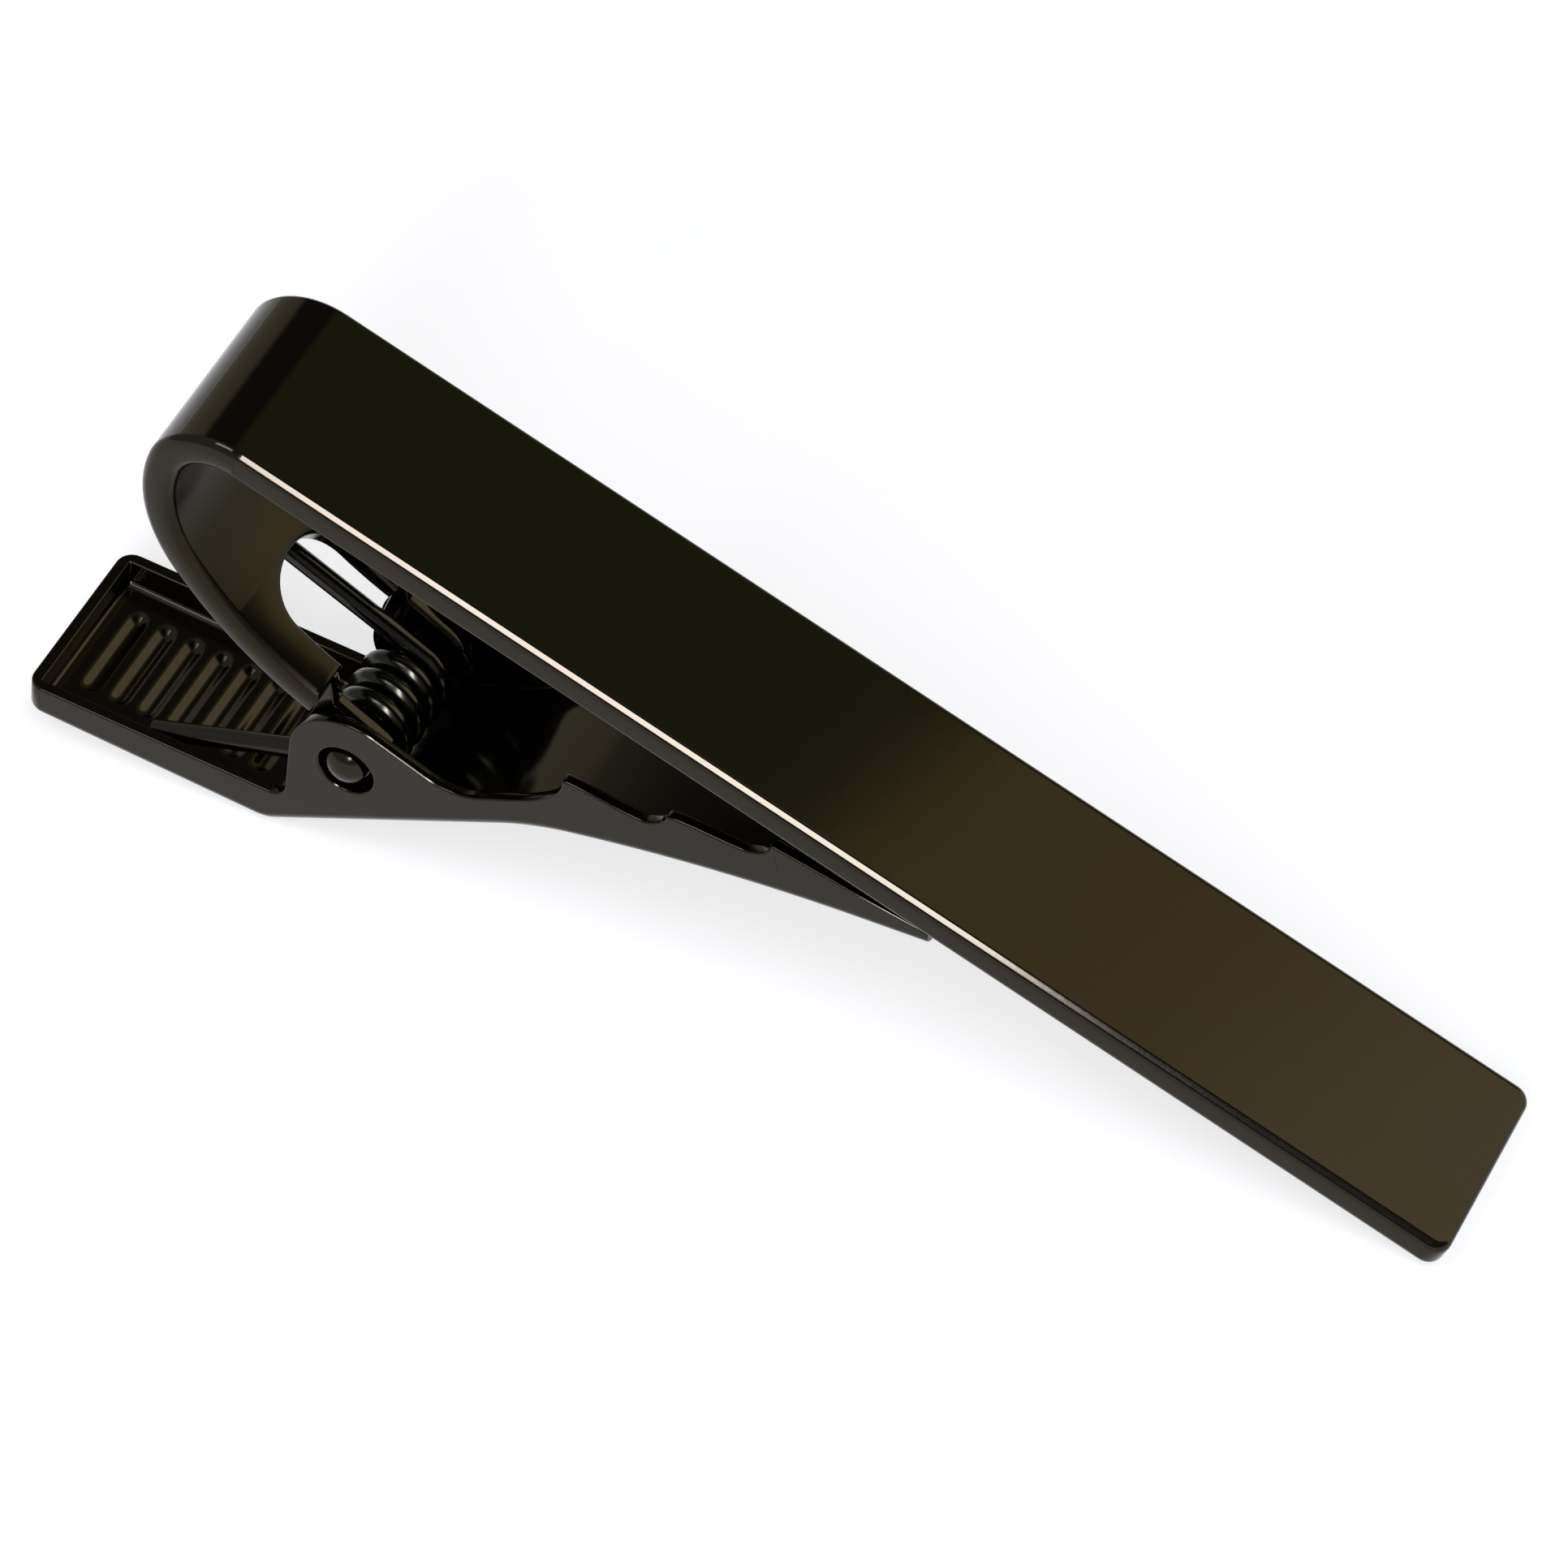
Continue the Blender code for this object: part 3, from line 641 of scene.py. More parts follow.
@dataclass(frozen=True)
class BlackNickel:
    """Black nickel plate over polished brass or steel: a dark mirror with a warm, olive cast.

    The bright dip under the plate leaves a faint orange-peel, the mop leaves hairlines along the
    strip, and the plate's colour drifts a little from one area of the bath to another. The mop
    can't reach the back of the strip, which lines the inside of the bend, so the plate is rougher
    there. The back of the strip is also given a darker, browner colour. The pieces without the map
    of their sides have the outer plate all over.
    """

    name: str
    colour: str = "#33312c"
    drift_colour: str = "#342f2a"
    drift_mm: float = 6.0
    drift_detail: float = 3.0
    drift_grain: float = 0.55
    drift_span: tuple[float, float] = (0.3, 0.7)
    roughness: float = 0.06
    roughness_drift: float = 0.02
    inner_colour: str = "#2c281f"
    inner_roughness: float = 0.28
    peel_mm: float = 0.5
    peel_detail: float = 2.0
    peel_height_mm: float = 0.00025
    # The mop's real lines are a few thousandths of a millimetre wide. These are drawn as coarse
    # as they need to be to show.
    hairline_mm: float = 0.06
    hairline_length_mm: float = 4.0
    hairline_detail: float = 3.0
    hairline_grain: float = 0.7
    hairline_height_mm: float = 0.00004

    def material(self) -> Material:
        """Builds the finish's material.

        Returns:
            A material that reads Object coordinates, so one scale holds on every piece.
        """
        material = bpy.data.materials.new(self.name)
        material.use_nodes = True
        tree = material.node_tree
        shader = tree.nodes["Principled BSDF"]
        shader.inputs["Metallic"].default_value = 1.0
        place = add_node(tree, "ShaderNodeTexCoord").outputs["Object"]
        look = {"Detail": self.drift_detail, "Roughness": self.drift_grain}
        links = {"Vector": place, "Scale": 1 / (self.drift_mm * MM), **look}
        drift = add_node(tree, "ShaderNodeTexNoise", links)
        sides = add_node(tree, "ShaderNodeSeparateXYZ", {0: add_node(tree, "ShaderNodeUVMap", uv_map=SIDES)})
        inside = sides.outputs["X"]
        tree.links.new(self.plate(tree, drift, inside), shader.inputs["Base Color"])
        tree.links.new(self.polish(tree, drift, inside), shader.inputs["Roughness"])
        tree.links.new(self.surface(tree, place), shader.inputs["Normal"])
        return material

    def plate(self, tree: NodeTree, drift: Node, inside: NodeSocket) -> NodeSocket:
        """The plate's colour.

        Args:
            tree: the material's tree.
            drift: the slow noise of the bath.
            inside: one on the inner side of the strip.

        Returns:
            The colour.
        """
        links = {0: drift, 6: to_linear(self.colour), 7: to_linear(self.drift_colour)}
        cast = add_node(tree, "ShaderNodeMix", links, data_type="RGBA")
        links = {0: inside, 6: cast.outputs[2], 7: to_linear(self.inner_colour)}
        return add_node(tree, "ShaderNodeMix", links, data_type="RGBA").outputs[2]

    def polish(self, tree: NodeTree, drift: Node, inside: NodeSocket) -> NodeSocket:
        """The plate's roughness, with a little more haze in some areas than in others.

        Args:
            tree: the material's tree.
            drift: the slow noise of the bath.
            inside: one on the inner side of the strip.

        Returns:
            The roughness.
        """
        links = {"Value": inside, "To Min": self.roughness, "To Max": self.inner_roughness}
        polish = add_node(tree, "ShaderNodeMapRange", links)
        low, high = self.drift_span
        half = self.roughness_drift / 2
        links = {"Value": drift, "From Min": low, "From Max": high, "To Min": -half, "To Max": half}
        haze = add_node(tree, "ShaderNodeMapRange", links)
        return add_node(tree, "ShaderNodeMath", {0: polish, 1: haze}).outputs[0]

    def surface(self, tree: NodeTree, place: NodeSocket) -> NodeSocket:
        """The orange-peel of the dip and the hairlines of the mop.

        Args:
            tree: the material's tree.
            place: the Object coordinates.

        Returns:
            The bumped normal.
        """
        links = {"Vector": place, "Scale": 1 / (self.peel_mm * MM), "Detail": self.peel_detail}
        peel = add_node(tree, "ShaderNodeTexNoise", links)
        links = {"Vector": place, "Scale": (self.hairline_mm / self.hairline_length_mm, 1.0, 1.0)}
        drawn = add_node(tree, "ShaderNodeMapping", links)
        look = {"Detail": self.hairline_detail, "Roughness": self.hairline_grain}
        links = {"Vector": drawn, "Scale": 1 / (self.hairline_mm * MM), **look}
        hairlines = add_node(tree, "ShaderNodeTexNoise", links)
        links = {"Strength": 1.0, "Distance": self.peel_height_mm * MM, "Height": peel}
        soft = add_node(tree, "ShaderNodeBump", links)
        height = self.hairline_height_mm * MM
        links = {"Strength": 1.0, "Distance": height, "Height": hairlines, "Normal": soft}
        return add_node(tree, "ShaderNodeBump", links).outputs[0]


# The tie bar's pieces


@dataclass
class FrontBar:
    """One strip of sheet: flat in front, bent into a slotted leg, with two ears for the pin."""

    length: float = 0.0400
    width: float = 0.0060
    sheet: float = 0.0010
    edge_round: float = 0.00025
    edge_steps: int = 5
    tip_corner: float = 0.0005
    tip_steps: int = 8
    crown_radius: float = 0.00226
    heel_radius: float = 0.0046
    heel_turn: float = math.radians(51.4)
    leg_radius: float = 0.01166
    leg_turn: float = math.radians(28.7)
    slice_length: float = 0.00014
    # The slot in the leg
    slot_length: float = 0.00335
    slot_half: float = 0.00157
    slot_steps: int = 28
    # The ears, and where the pin goes, from the outer side of the leg's end
    ear_outer: float = 0.00235
    ear_inner: float = 0.00185
    ear_root: float = 0.0008
    ear_inset: float = 0.0001
    ear_neck_reach: float = 0.0005
    ear_neck_rise: float = 0.0002
    ear_eye: float = 0.00155
    ear_eye_steps: int = 40
    ear_edge_round: float = 0.00006
    ear_edge_steps: int = 2
    pin_reach: float = 0.0016
    pin_drop: float = 0.0017
    bore: float = 0.00065
    bore_sides: int = 64

    def front_end(self, leg_turn: float) -> tuple[Vector, float]:
        """Follows the front's line from the free end, round the bend and down the leg.

        Args:
            leg_turn: how far down the leg, as a turn.

        Returns:
            Where the line ends, and its heading there.
        """
        line = [
            Stretch(length=self.length - self.crown_radius),
            Stretch(radius=self.crown_radius, turn=QUARTER_TURN),
            Stretch(radius=self.heel_radius, turn=self.heel_turn),
            Stretch(radius=self.leg_radius, turn=leg_turn),
        ]
        return walk(Vector((self.length, 0)), math.pi, line)[1:]

    def leg_end(self) -> tuple[Vector, float]:
        """Where the outer side of the leg ends, and its heading there."""
        return self.front_end(self.leg_turn)

    def slot_end(self) -> tuple[Vector, float]:
        """Where the slot begins on the outer side of the leg, and the heading there."""
        return self.front_end(self.leg_turn - self.slot_length / self.leg_radius)

    def pin_place(self) -> Vector:
        """The hinge axis in the side view."""
        return self.leg_end()[0] + Vector((self.pin_reach, -self.pin_drop))

    def starts(self) -> tuple[float, float, float, float]:
        """Measures the flat blank along its length.

        Returns:
            Where crown, heel and leg begin, and where the blank ends.
        """
        crown = self.crown_radius
        heel = crown - self.crown_radius * QUARTER_TURN
        leg = heel - self.heel_radius * self.heel_turn
        return crown, heel, leg, leg - self.leg_radius * self.leg_turn

    def blank(self) -> BMesh:
        """The flat punched blank, its edges tumbled round, cut fine where it will bend.

        Returns:
            The blank, its front at zero height.
        """
        crown, _, _, end = self.starts()
        half = self.width / 2
        corner = self.tip_corner
        slot_start = Vector((end + self.slot_length - self.slot_half, 0))
        tip = self.length - corner
        outline = [
            *arc(Vector((tip, corner - half)), corner, -QUARTER_TURN, 0, self.tip_steps),
            *arc(Vector((tip, half - corner)), corner, 0, QUARTER_TURN, self.tip_steps),
            Vector((end, half)),
            Vector((end, self.slot_half)),
            *arc(slot_start, self.slot_half, QUARTER_TURN, -QUARTER_TURN, self.slot_steps),
            Vector((end, -self.slot_half)),
            Vector((end, -half)),
        ]
        builder = solid([Vector((point.x, point.y, 0)) for point in outline], Vector((0, 0, -self.sheet)))
        faces, rim = faces_facing(Axis.UP), faces_beside(Axis.UP)
        bevel_where(builder, self.edge_round, self.edge_steps, faces, rim)
        self.mark_sides(builder)
        slices = math.ceil((crown - end) / self.slice_length)
        for cut in range(slices):
            spot = Vector((crown - (crown - end) * cut / slices, 0, 0))
            slice_along(builder, builder.faces, spot, Vector((1, 0, 0)))
        return builder

    def mark_sides(self, builder: BMesh) -> None:
        """Maps the strip so that the first number is zero at its front and one at its back."""
        sides = builder.loops.layers.uv.new(SIDES)
        for face in builder.faces:
            for loop in face.loops:
                loop[sides].uv = (-loop.vert.co.z / self.sheet, 0.0)

    def ear_outline(self) -> list[Vector]:
        """The side view of an ear, with a root that reaches into the leg's end.

        Returns:
            The outline's points.
        """
        end, heading = self.leg_end()
        along = heading_vector(heading)
        up = left_of(heading)
        under = end + up * self.ear_inset
        over = end + up * (self.sheet - self.ear_inset)
        neck = end + along * self.ear_neck_reach + up * self.ear_neck_rise
        first = tangent_angle(under, self.pin_place(), self.ear_eye, 1)
        last = tangent_angle(neck, self.pin_place(), self.ear_eye, -1) + math.tau
        eye = arc(self.pin_place(), self.ear_eye, first, last, self.ear_eye_steps)
        return [over - along * self.ear_root, under - along * self.ear_root, under, *eye, neck, over]

    def ear(self, low: float, high: float) -> Object:
        """One ear with its rim tumbled.

        Args:
            low: the distance across the bar where it begins.
            high: the distance where it ends.

        Returns:
            The ear, to be welded to the leg.
        """
        builder = prism(self.ear_outline(), low, high)
        faces, rim = faces_facing(Axis.ACROSS), faces_beside(Axis.ACROSS)
        bevel_where(builder, self.ear_edge_round, self.ear_edge_steps, faces, rim)
        return mesh_object("ear", builder)

    def build(self, bending: NodeTree, finish: Material) -> Object:
        """Bends the blank, welds the ears to it and bores them.

        Args:
            bending: the tree that bends a strip three times.
            finish: the bar's material.

        Returns:
            The bar as a plain mesh in the bar's frame.
        """
        bar = mesh_object("front_bar_form", self.blank())
        crown, heel, leg, _ = self.starts()
        bends = {
            "Leg": (leg, self.leg_radius, self.leg_turn),
            "Heel": (heel, self.heel_radius, self.heel_turn),
            "Crown": (crown, self.crown_radius, QUARTER_TURN),
        }
        values = {"Finish": finish}
        for part, sizes in bends.items():
            values.update({f"{part} {name}": size for name, size in zip(BEND_SIZES, sizes)})
        bar = run_tree(bar, bending, values)
        for low, high in ((-self.ear_outer, -self.ear_inner), (self.ear_inner, self.ear_outer)):
            combine(bar, self.ear(low, high), Joining.WELD)
        bore = rod("bore", self.bore, self.width, self.pin_place(), self.bore_sides)
        combine(bar, bore, Joining.CUT)
        keep_flats_flat(bar)
        return bar


@dataclass
class ClaspLever:
    """A channel folded from thin sheet: thumb tab, two eyes round the pin, toothed jaw.

    Its own frame has its origin on the pin, and the underside of its shank is level there. Along
    the jaw, stations are measured on the underside from the foot of the pin.
    """

    half: float = 0.0028
    sheet: float = 0.00035
    overrun: float = 0.0020
    rest_gap: float = 0.0001
    fold_round: float = 0.00038
    fold_steps: int = 6
    inner_round: float = 0.00012
    inner_steps: int = 3
    rim_round: float = 0.00006
    rim_steps: int = 2
    flank_tilt: float = math.radians(10)
    floor_tilt: float = math.radians(50)
    # The thumb tab
    tab_length: float = 0.00765
    tab_pitch: float = math.radians(32.8)
    tab_bend: float = 0.0012
    tab_bend_steps: int = 9
    tab_end_height: float = 0.0012
    tab_corner_round: float = 0.0005
    tab_corner_steps: int = 7
    rim_height: float = 0.00145
    rim_overrun: float = 0.0005
    rim_foot: float = 0.0005
    rim_foot_steps: int = 8
    # Its ridges, which spread a little through the sheet
    ridge_count: int = 7
    ridge_pitch: float = 0.0009
    ridge_start: float = 0.0013
    ridge_length: float = 0.0033
    ridge_half_width: float = 0.00038
    ridge_depth: float = 0.00014
    ridge_spread: float = 1.15
    grid: tuple[int, int] = (96, 48)
    # The shank and the eyes
    pin_height: float = 0.0020
    shank_back: float = 0.00385
    shank_front: float = 0.0044
    eye: float = 0.0019
    eye_shift: float = 0.0003
    eye_steps: int = 44
    hole: float = 0.00085
    hole_sides: int = 64
    hole_shift: float = 0.00017
    hole_shift_angle: float = math.radians(12)
    # The jaw
    knee_radius: float = 0.0090
    knee_turn: float = math.radians(14)
    sweep_radius: float = 0.0500
    sweep_turn: float = math.radians(10)
    jaw_steps: int = 12
    tip_length: float = 0.0021
    tip_height: float = 0.00055
    ear_foot: float = 0.0034
    ear_foot_radius: float = 0.0019
    ear_foot_steps: int = 12
    hollow_end: float = 0.0050
    hollow_height: float = 0.0011
    hollow_steps: int = 8
    teeth: tuple[tuple[float, float], ...] = ((0.0070, 0.00234), (0.0100, 0.00194), (0.0130, 0.00194))
    tooth_rise: float = 0.0009
    tooth_steps: int = 4
    tooth_wear: int = 2
    valley_height: float = 0.0014

    def bend_reach(self) -> float:
        """How much of the straight lines on each side the tab's bend takes."""
        return self.tab_bend * math.tan(self.tab_pitch / 2)

    def tab_corner(self) -> Vector:
        """Where the tab's underside would meet the shank's if the bend were sharp."""
        return Vector((-self.shank_back, -self.pin_height))

    def tab_tail(self) -> Vector:
        """The end of the tab's underside."""
        return self.tab_corner() - heading_vector(-self.tab_pitch) * self.tab_length

    def underside(self, tab_trim: float = 0.0, tip_extra: float = 0.0) -> list[Stretch]:
        """The underside's line from the tab's end to the jaw's tip.

        Args:
            tab_trim: how much later it begins.
            tip_extra: how much further it goes.

        Returns:
            Its stretches.
        """
        return [
            Stretch(length=self.tab_length - self.bend_reach() - tab_trim),
            Stretch(radius=self.tab_bend, turn=self.tab_pitch, steps=self.tab_bend_steps),
            Stretch(length=self.shank_back + self.shank_front - self.bend_reach()),
            Stretch(radius=self.knee_radius, turn=-self.knee_turn, steps=self.jaw_steps),
            Stretch(radius=self.sweep_radius, turn=-self.sweep_turn, steps=self.jaw_steps),
            Stretch(length=self.tip_length + tip_extra),
        ]

    def above(self, station: float, height: float) -> Vector:
        """The point at a height above the underside.

        Args:
            station: its distance along the underside from the foot of the pin.
            height: its height.

        Returns:
            The point in the lever's side view.
        """
        if station <= self.shank_front:
            return Vector((station, height - self.pin_height))
        beyond = station - self.shank_front
        knee = min(beyond / self.knee_radius, self.knee_turn)
        beyond -= knee * self.knee_radius
        sweep = min(beyond / self.sweep_radius, self.sweep_turn)
        beyond -= sweep * self.sweep_radius
        stretches = [Stretch(radius=self.knee_radius, turn=-knee)]
        if sweep:
            stretches.append(Stretch(radius=self.sweep_radius, turn=-sweep))
        if beyond:
            stretches.append(Stretch(length=beyond))
        return walk(Vector((self.shank_front, -self.pin_height)), 0.0, stretches, height)[0][-1]

    def jaw_edge(self) -> list[Vector]:
        """The flange's top edge from the hollow by the eye, over the teeth.

        Returns:
            The edge's points, with its teeth worn a little by the barrel.
        """
        marks = rise(self.hollow_end, self.hollow_height, *self.teeth[0], self.hollow_steps)
        for station, height in self.teeth[1:]:
            marks += rise(station - self.tooth_rise, self.valley_height, station, height, self.tooth_steps)
        return cut_corners([self.above(*mark) for mark in marks], self.tooth_wear)

    def pitch(self) -> float:
        """How far the lever is turned up for its jaw to rest on the bar's back.

        Returns:
            The turn from the bar's frame.
        """
        tip, heading = walk(self.tab_tail(), -self.tab_pitch, self.underside())[1:]
        contact = tip + left_of(heading) * self.tip_height
        bar = FrontBar()
        rest_height = -bar.sheet - self.rest_gap - bar.pin_place().y
        return math.asin(rest_height / contact.length) - math.atan2(contact.y, contact.x)

    def outline(self) -> list[Vector]:
        """The side view: the underside, then back over the teeth, the eye and the tab's rim.

        Returns:
            The outline's points.
        """
        underside, tip, heading = walk(self.tab_tail(), -self.tab_pitch, self.underside())
        tip_top = tip + left_of(heading) * self.tip_height
        edge = self.jaw_edge()
        along = heading_vector(-self.tab_pitch)
        up = left_of(-self.tab_pitch)
        rim_foot = self.tab_corner() + along * self.rim_overrun + up * self.rim_height
        eye_centre = Vector((self.eye_shift, 0))
        ear_foot = self.above(self.ear_foot, self.hollow_height)
        first = tangent_angle(ear_foot, eye_centre, self.eye, 1)
        last = tangent_angle(rim_foot, eye_centre, self.eye, -1)
        eye = arc(eye_centre, self.eye, first, last % math.tau, self.eye_steps)
        rim_tail = self.tab_tail() + up * self.tab_end_height
        foot = fillet(eye[-1], rim_foot, rim_tail, self.rim_foot, self.rim_foot_steps)
        sweep = fillet(edge[0], ear_foot, eye[0], self.ear_foot_radius, self.ear_foot_steps)
        return [*underside, tip_top, *reversed(edge), *sweep, *eye, *foot, rim_tail]

    def channel_outline(self) -> list[Vector]:
        """The hollow of the channel: open above and at the jaw, walled at the tab.

        Returns:
            The outline's points.
        """
        start = self.tab_tail() + heading_vector(-self.tab_pitch) * self.sheet
        line = self.underside(self.sheet, self.overrun)
        floor, tip, _ = walk(start, -self.tab_pitch, line, self.sheet)
        top = self.eye + self.hole_shift + self.overrun
        open_end = start + left_of(-self.tab_pitch) * (self.rim_height + self.overrun)
        return [*floor, Vector((tip.x, top)), Vector((open_end.x, top)), open_end]

    def to_tab(self) -> Matrix:
        """Turns the lever's frame so that the tab's underside is level and its end is at zero."""
        tail = self.tab_tail()
        return Matrix.Rotation(-self.tab_pitch, 4, "Y") @ Matrix.Translation((-tail.x, 0, -tail.y))

    def tab_floor(self, builder: BMesh, level: float) -> list[BMFace]:
        """Finds the faces that lie on the tab's level floor.

        Args:
            builder: the mesh in the lever's frame.
            level: the floor's height above the tab's underside.

        Returns:
            The faces.
        """
        to_tab = self.to_tab()
        length = self.tab_length - self.bend_reach()
        found = []
        for face in builder.faces:
            spots = [to_tab @ vert.co for vert in face.verts]
            if all(abs(spot.z - level) < LEVEL_SLACK and spot.x < length + LEVEL_SLACK for spot in spots):
                found.append(face)
        return found

    def grid_tab(self, builder: BMesh, level: float) -> None:
        """Cuts the tab's floor into a fine grid.

        Args:
            builder: the mesh in the lever's frame.
            level: the floor's height above the tab's underside.
        """
        back = self.to_tab().inverted()
        length = self.tab_length - self.bend_reach()
        along = back.to_3x3() @ Vector((1, 0, 0))
        rows, columns = self.grid
        for cut in range(1, rows):
            spot = back @ Vector((length * cut / rows, 0, level))
            slice_along(builder, self.tab_floor(builder, level), spot, along)
        for cut in range(1, columns):
            spot = Vector((0, self.half * (2 * cut / columns - 1), 0))
            slice_along(builder, self.tab_floor(builder, level), spot, Vector((0, 1, 0)))

    def press(self, obj: Object, level: float, half_width: float, ridges: NodeTree, finish: Material) -> None:
        """Presses the grip ridges into one side of the tab's floor.

        Args:
            obj: a mesh in the lever's frame, with that side cut into a fine grid.
            level: the side's height above the tab's underside.
            half_width: half the width of a ridge at this side.
            ridges: the tree that presses ridges.
            finish: the lever's material.
        """
        last = float(self.ridge_count - 1)
        values = (level, self.ridge_start, self.ridge_pitch, last, self.ridge_length / 2, half_width)
        obj.data.transform(self.to_tab())
        sizes = dict(zip(RIDGE_SIZES, (*values, self.ridge_depth)))
        run_tree(obj, ridges, {**sizes, "Finish": finish})
        obj.data.transform(self.to_tab().inverted())

    def body(self) -> BMesh:
        """The lever without its hollow, round at the tab's corners and where the sheet folds.

        Returns:
            The closed solid in the lever's frame.
        """
        flank = faces_facing(Axis.ACROSS, math.cos(self.flank_tilt))
        wide = math.cos(self.floor_tilt)
        tail_x = self.tab_tail().x + self.tab_end_height / 2
        body = prism(self.outline(), -self.half, self.half)
        bevel_where(
            body,
            self.tab_corner_round,
            self.tab_corner_steps,
            lambda face: face.calc_center_median().x < tail_x,
            flank,
        )
        bevel_where(
            body,
            self.fold_round,
            self.fold_steps,
            lambda face: face.normal.z < -wide,
            lambda face: face.normal.z > -wide and face.normal.x < wide,
        )
        return body

    def hollow(self) -> BMesh:
        """The inside of the channel, with the small rounds that a fold leaves within.

        Returns:
            The closed solid in the lever's frame, for cutting.
        """
        flank = faces_facing(Axis.ACROSS, math.cos(self.flank_tilt))
        wide = math.cos(self.floor_tilt)
        inner = self.half - self.sheet
        hollow = prism(self.channel_outline(), -inner, inner)
        bevel_where(
            hollow,
            self.inner_round,
            self.inner_steps,
            lambda face: face.normal.z < -wide,
            lambda face: flank(face) or face.normal.x < -wide,
        )
        return hollow

    def build(self, ridges: NodeTree, finish: Material) -> Object:
        """Folds, presses and bores the lever.

        Args:
            ridges: the tree that presses ridges.
            finish: the lever's material.

        Returns:
            The lever as a plain mesh in the bar's frame.
        """
        sides = []
        outer_half_width = self.ridge_half_width * self.ridge_spread
        for name, builder, level, half_width in (
            ("clasp_lever_form", self.body(), 0.0, outer_half_width),
            ("channel", self.hollow(), self.sheet, self.ridge_half_width),
        ):
            self.grid_tab(builder, level)
            sides.append(mesh_object(name, builder))
            self.press(sides[-1], level, half_width, ridges, finish)
        lever, channel = sides
        combine(lever, channel, Joining.CUT)
        shift = heading_vector(self.hole_shift_angle) * self.hole_shift
        combine(lever, rod("hole", self.hole, self.half * 2, shift, self.hole_sides), Joining.CUT)
        round_edges(lever, self.rim_round, self.rim_steps)
        keep_flats_flat(lever)
        pin = in_space(FrontBar().pin_place(), 0)
        lever.data.transform(Matrix.Translation(pin) @ Matrix.Rotation(-self.pitch(), 4, "Y"))
        return lever


@dataclass
class PivotPin:
    """A plain turned pin through both pairs of ears, its ends domed."""

    radius: float = 0.0006
    half_length: float = 0.0029
    dome_radius: float = 0.00085
    dome_steps: int = 10
    sides: int = 64

    def profile(self) -> list[tuple[float, float]]:
        """The pin's profile from one end to the other.

        Returns:
            Its points as radii and distances across the bar.
        """
        widest = math.asin(self.radius / self.dome_radius)
        turns = [widest * (1 - step / self.dome_steps) for step in range(self.dome_steps)]
        dome = self.dome_radius
        centre = self.half_length - dome
        far = [(dome * math.sin(turn), centre + dome * math.cos(turn)) for turn in turns]
        return [(radius, -across) for radius, across in reversed(far)] + far

    def build(self, finish: Material) -> Object:
        """Turns the pin on its axis.

        Args:
            finish: the pin's material.

        Returns:
            The pin as a plain mesh in the bar's frame.
        """
        axis = FrontBar().pin_place()
        builder = bmesh.new()
        loops = []
        for radius, across in self.profile():
            spots = ring(axis, radius, self.sides)
            loops.append([builder.verts.new(in_space(spot, across)) for spot in spots])
        for one, two in zip(loops, loops[1:]):
            for side in range(self.sides):
                after = (side + 1) % self.sides
                builder.faces.new((one[side], one[after], two[after], two[side]))
        builder.faces.new(loops[0])
        builder.faces.new(loops[-1])
        pin = mesh_object("pivot_pin_form", builder)
        pin.data.materials.append(finish)
        return pin


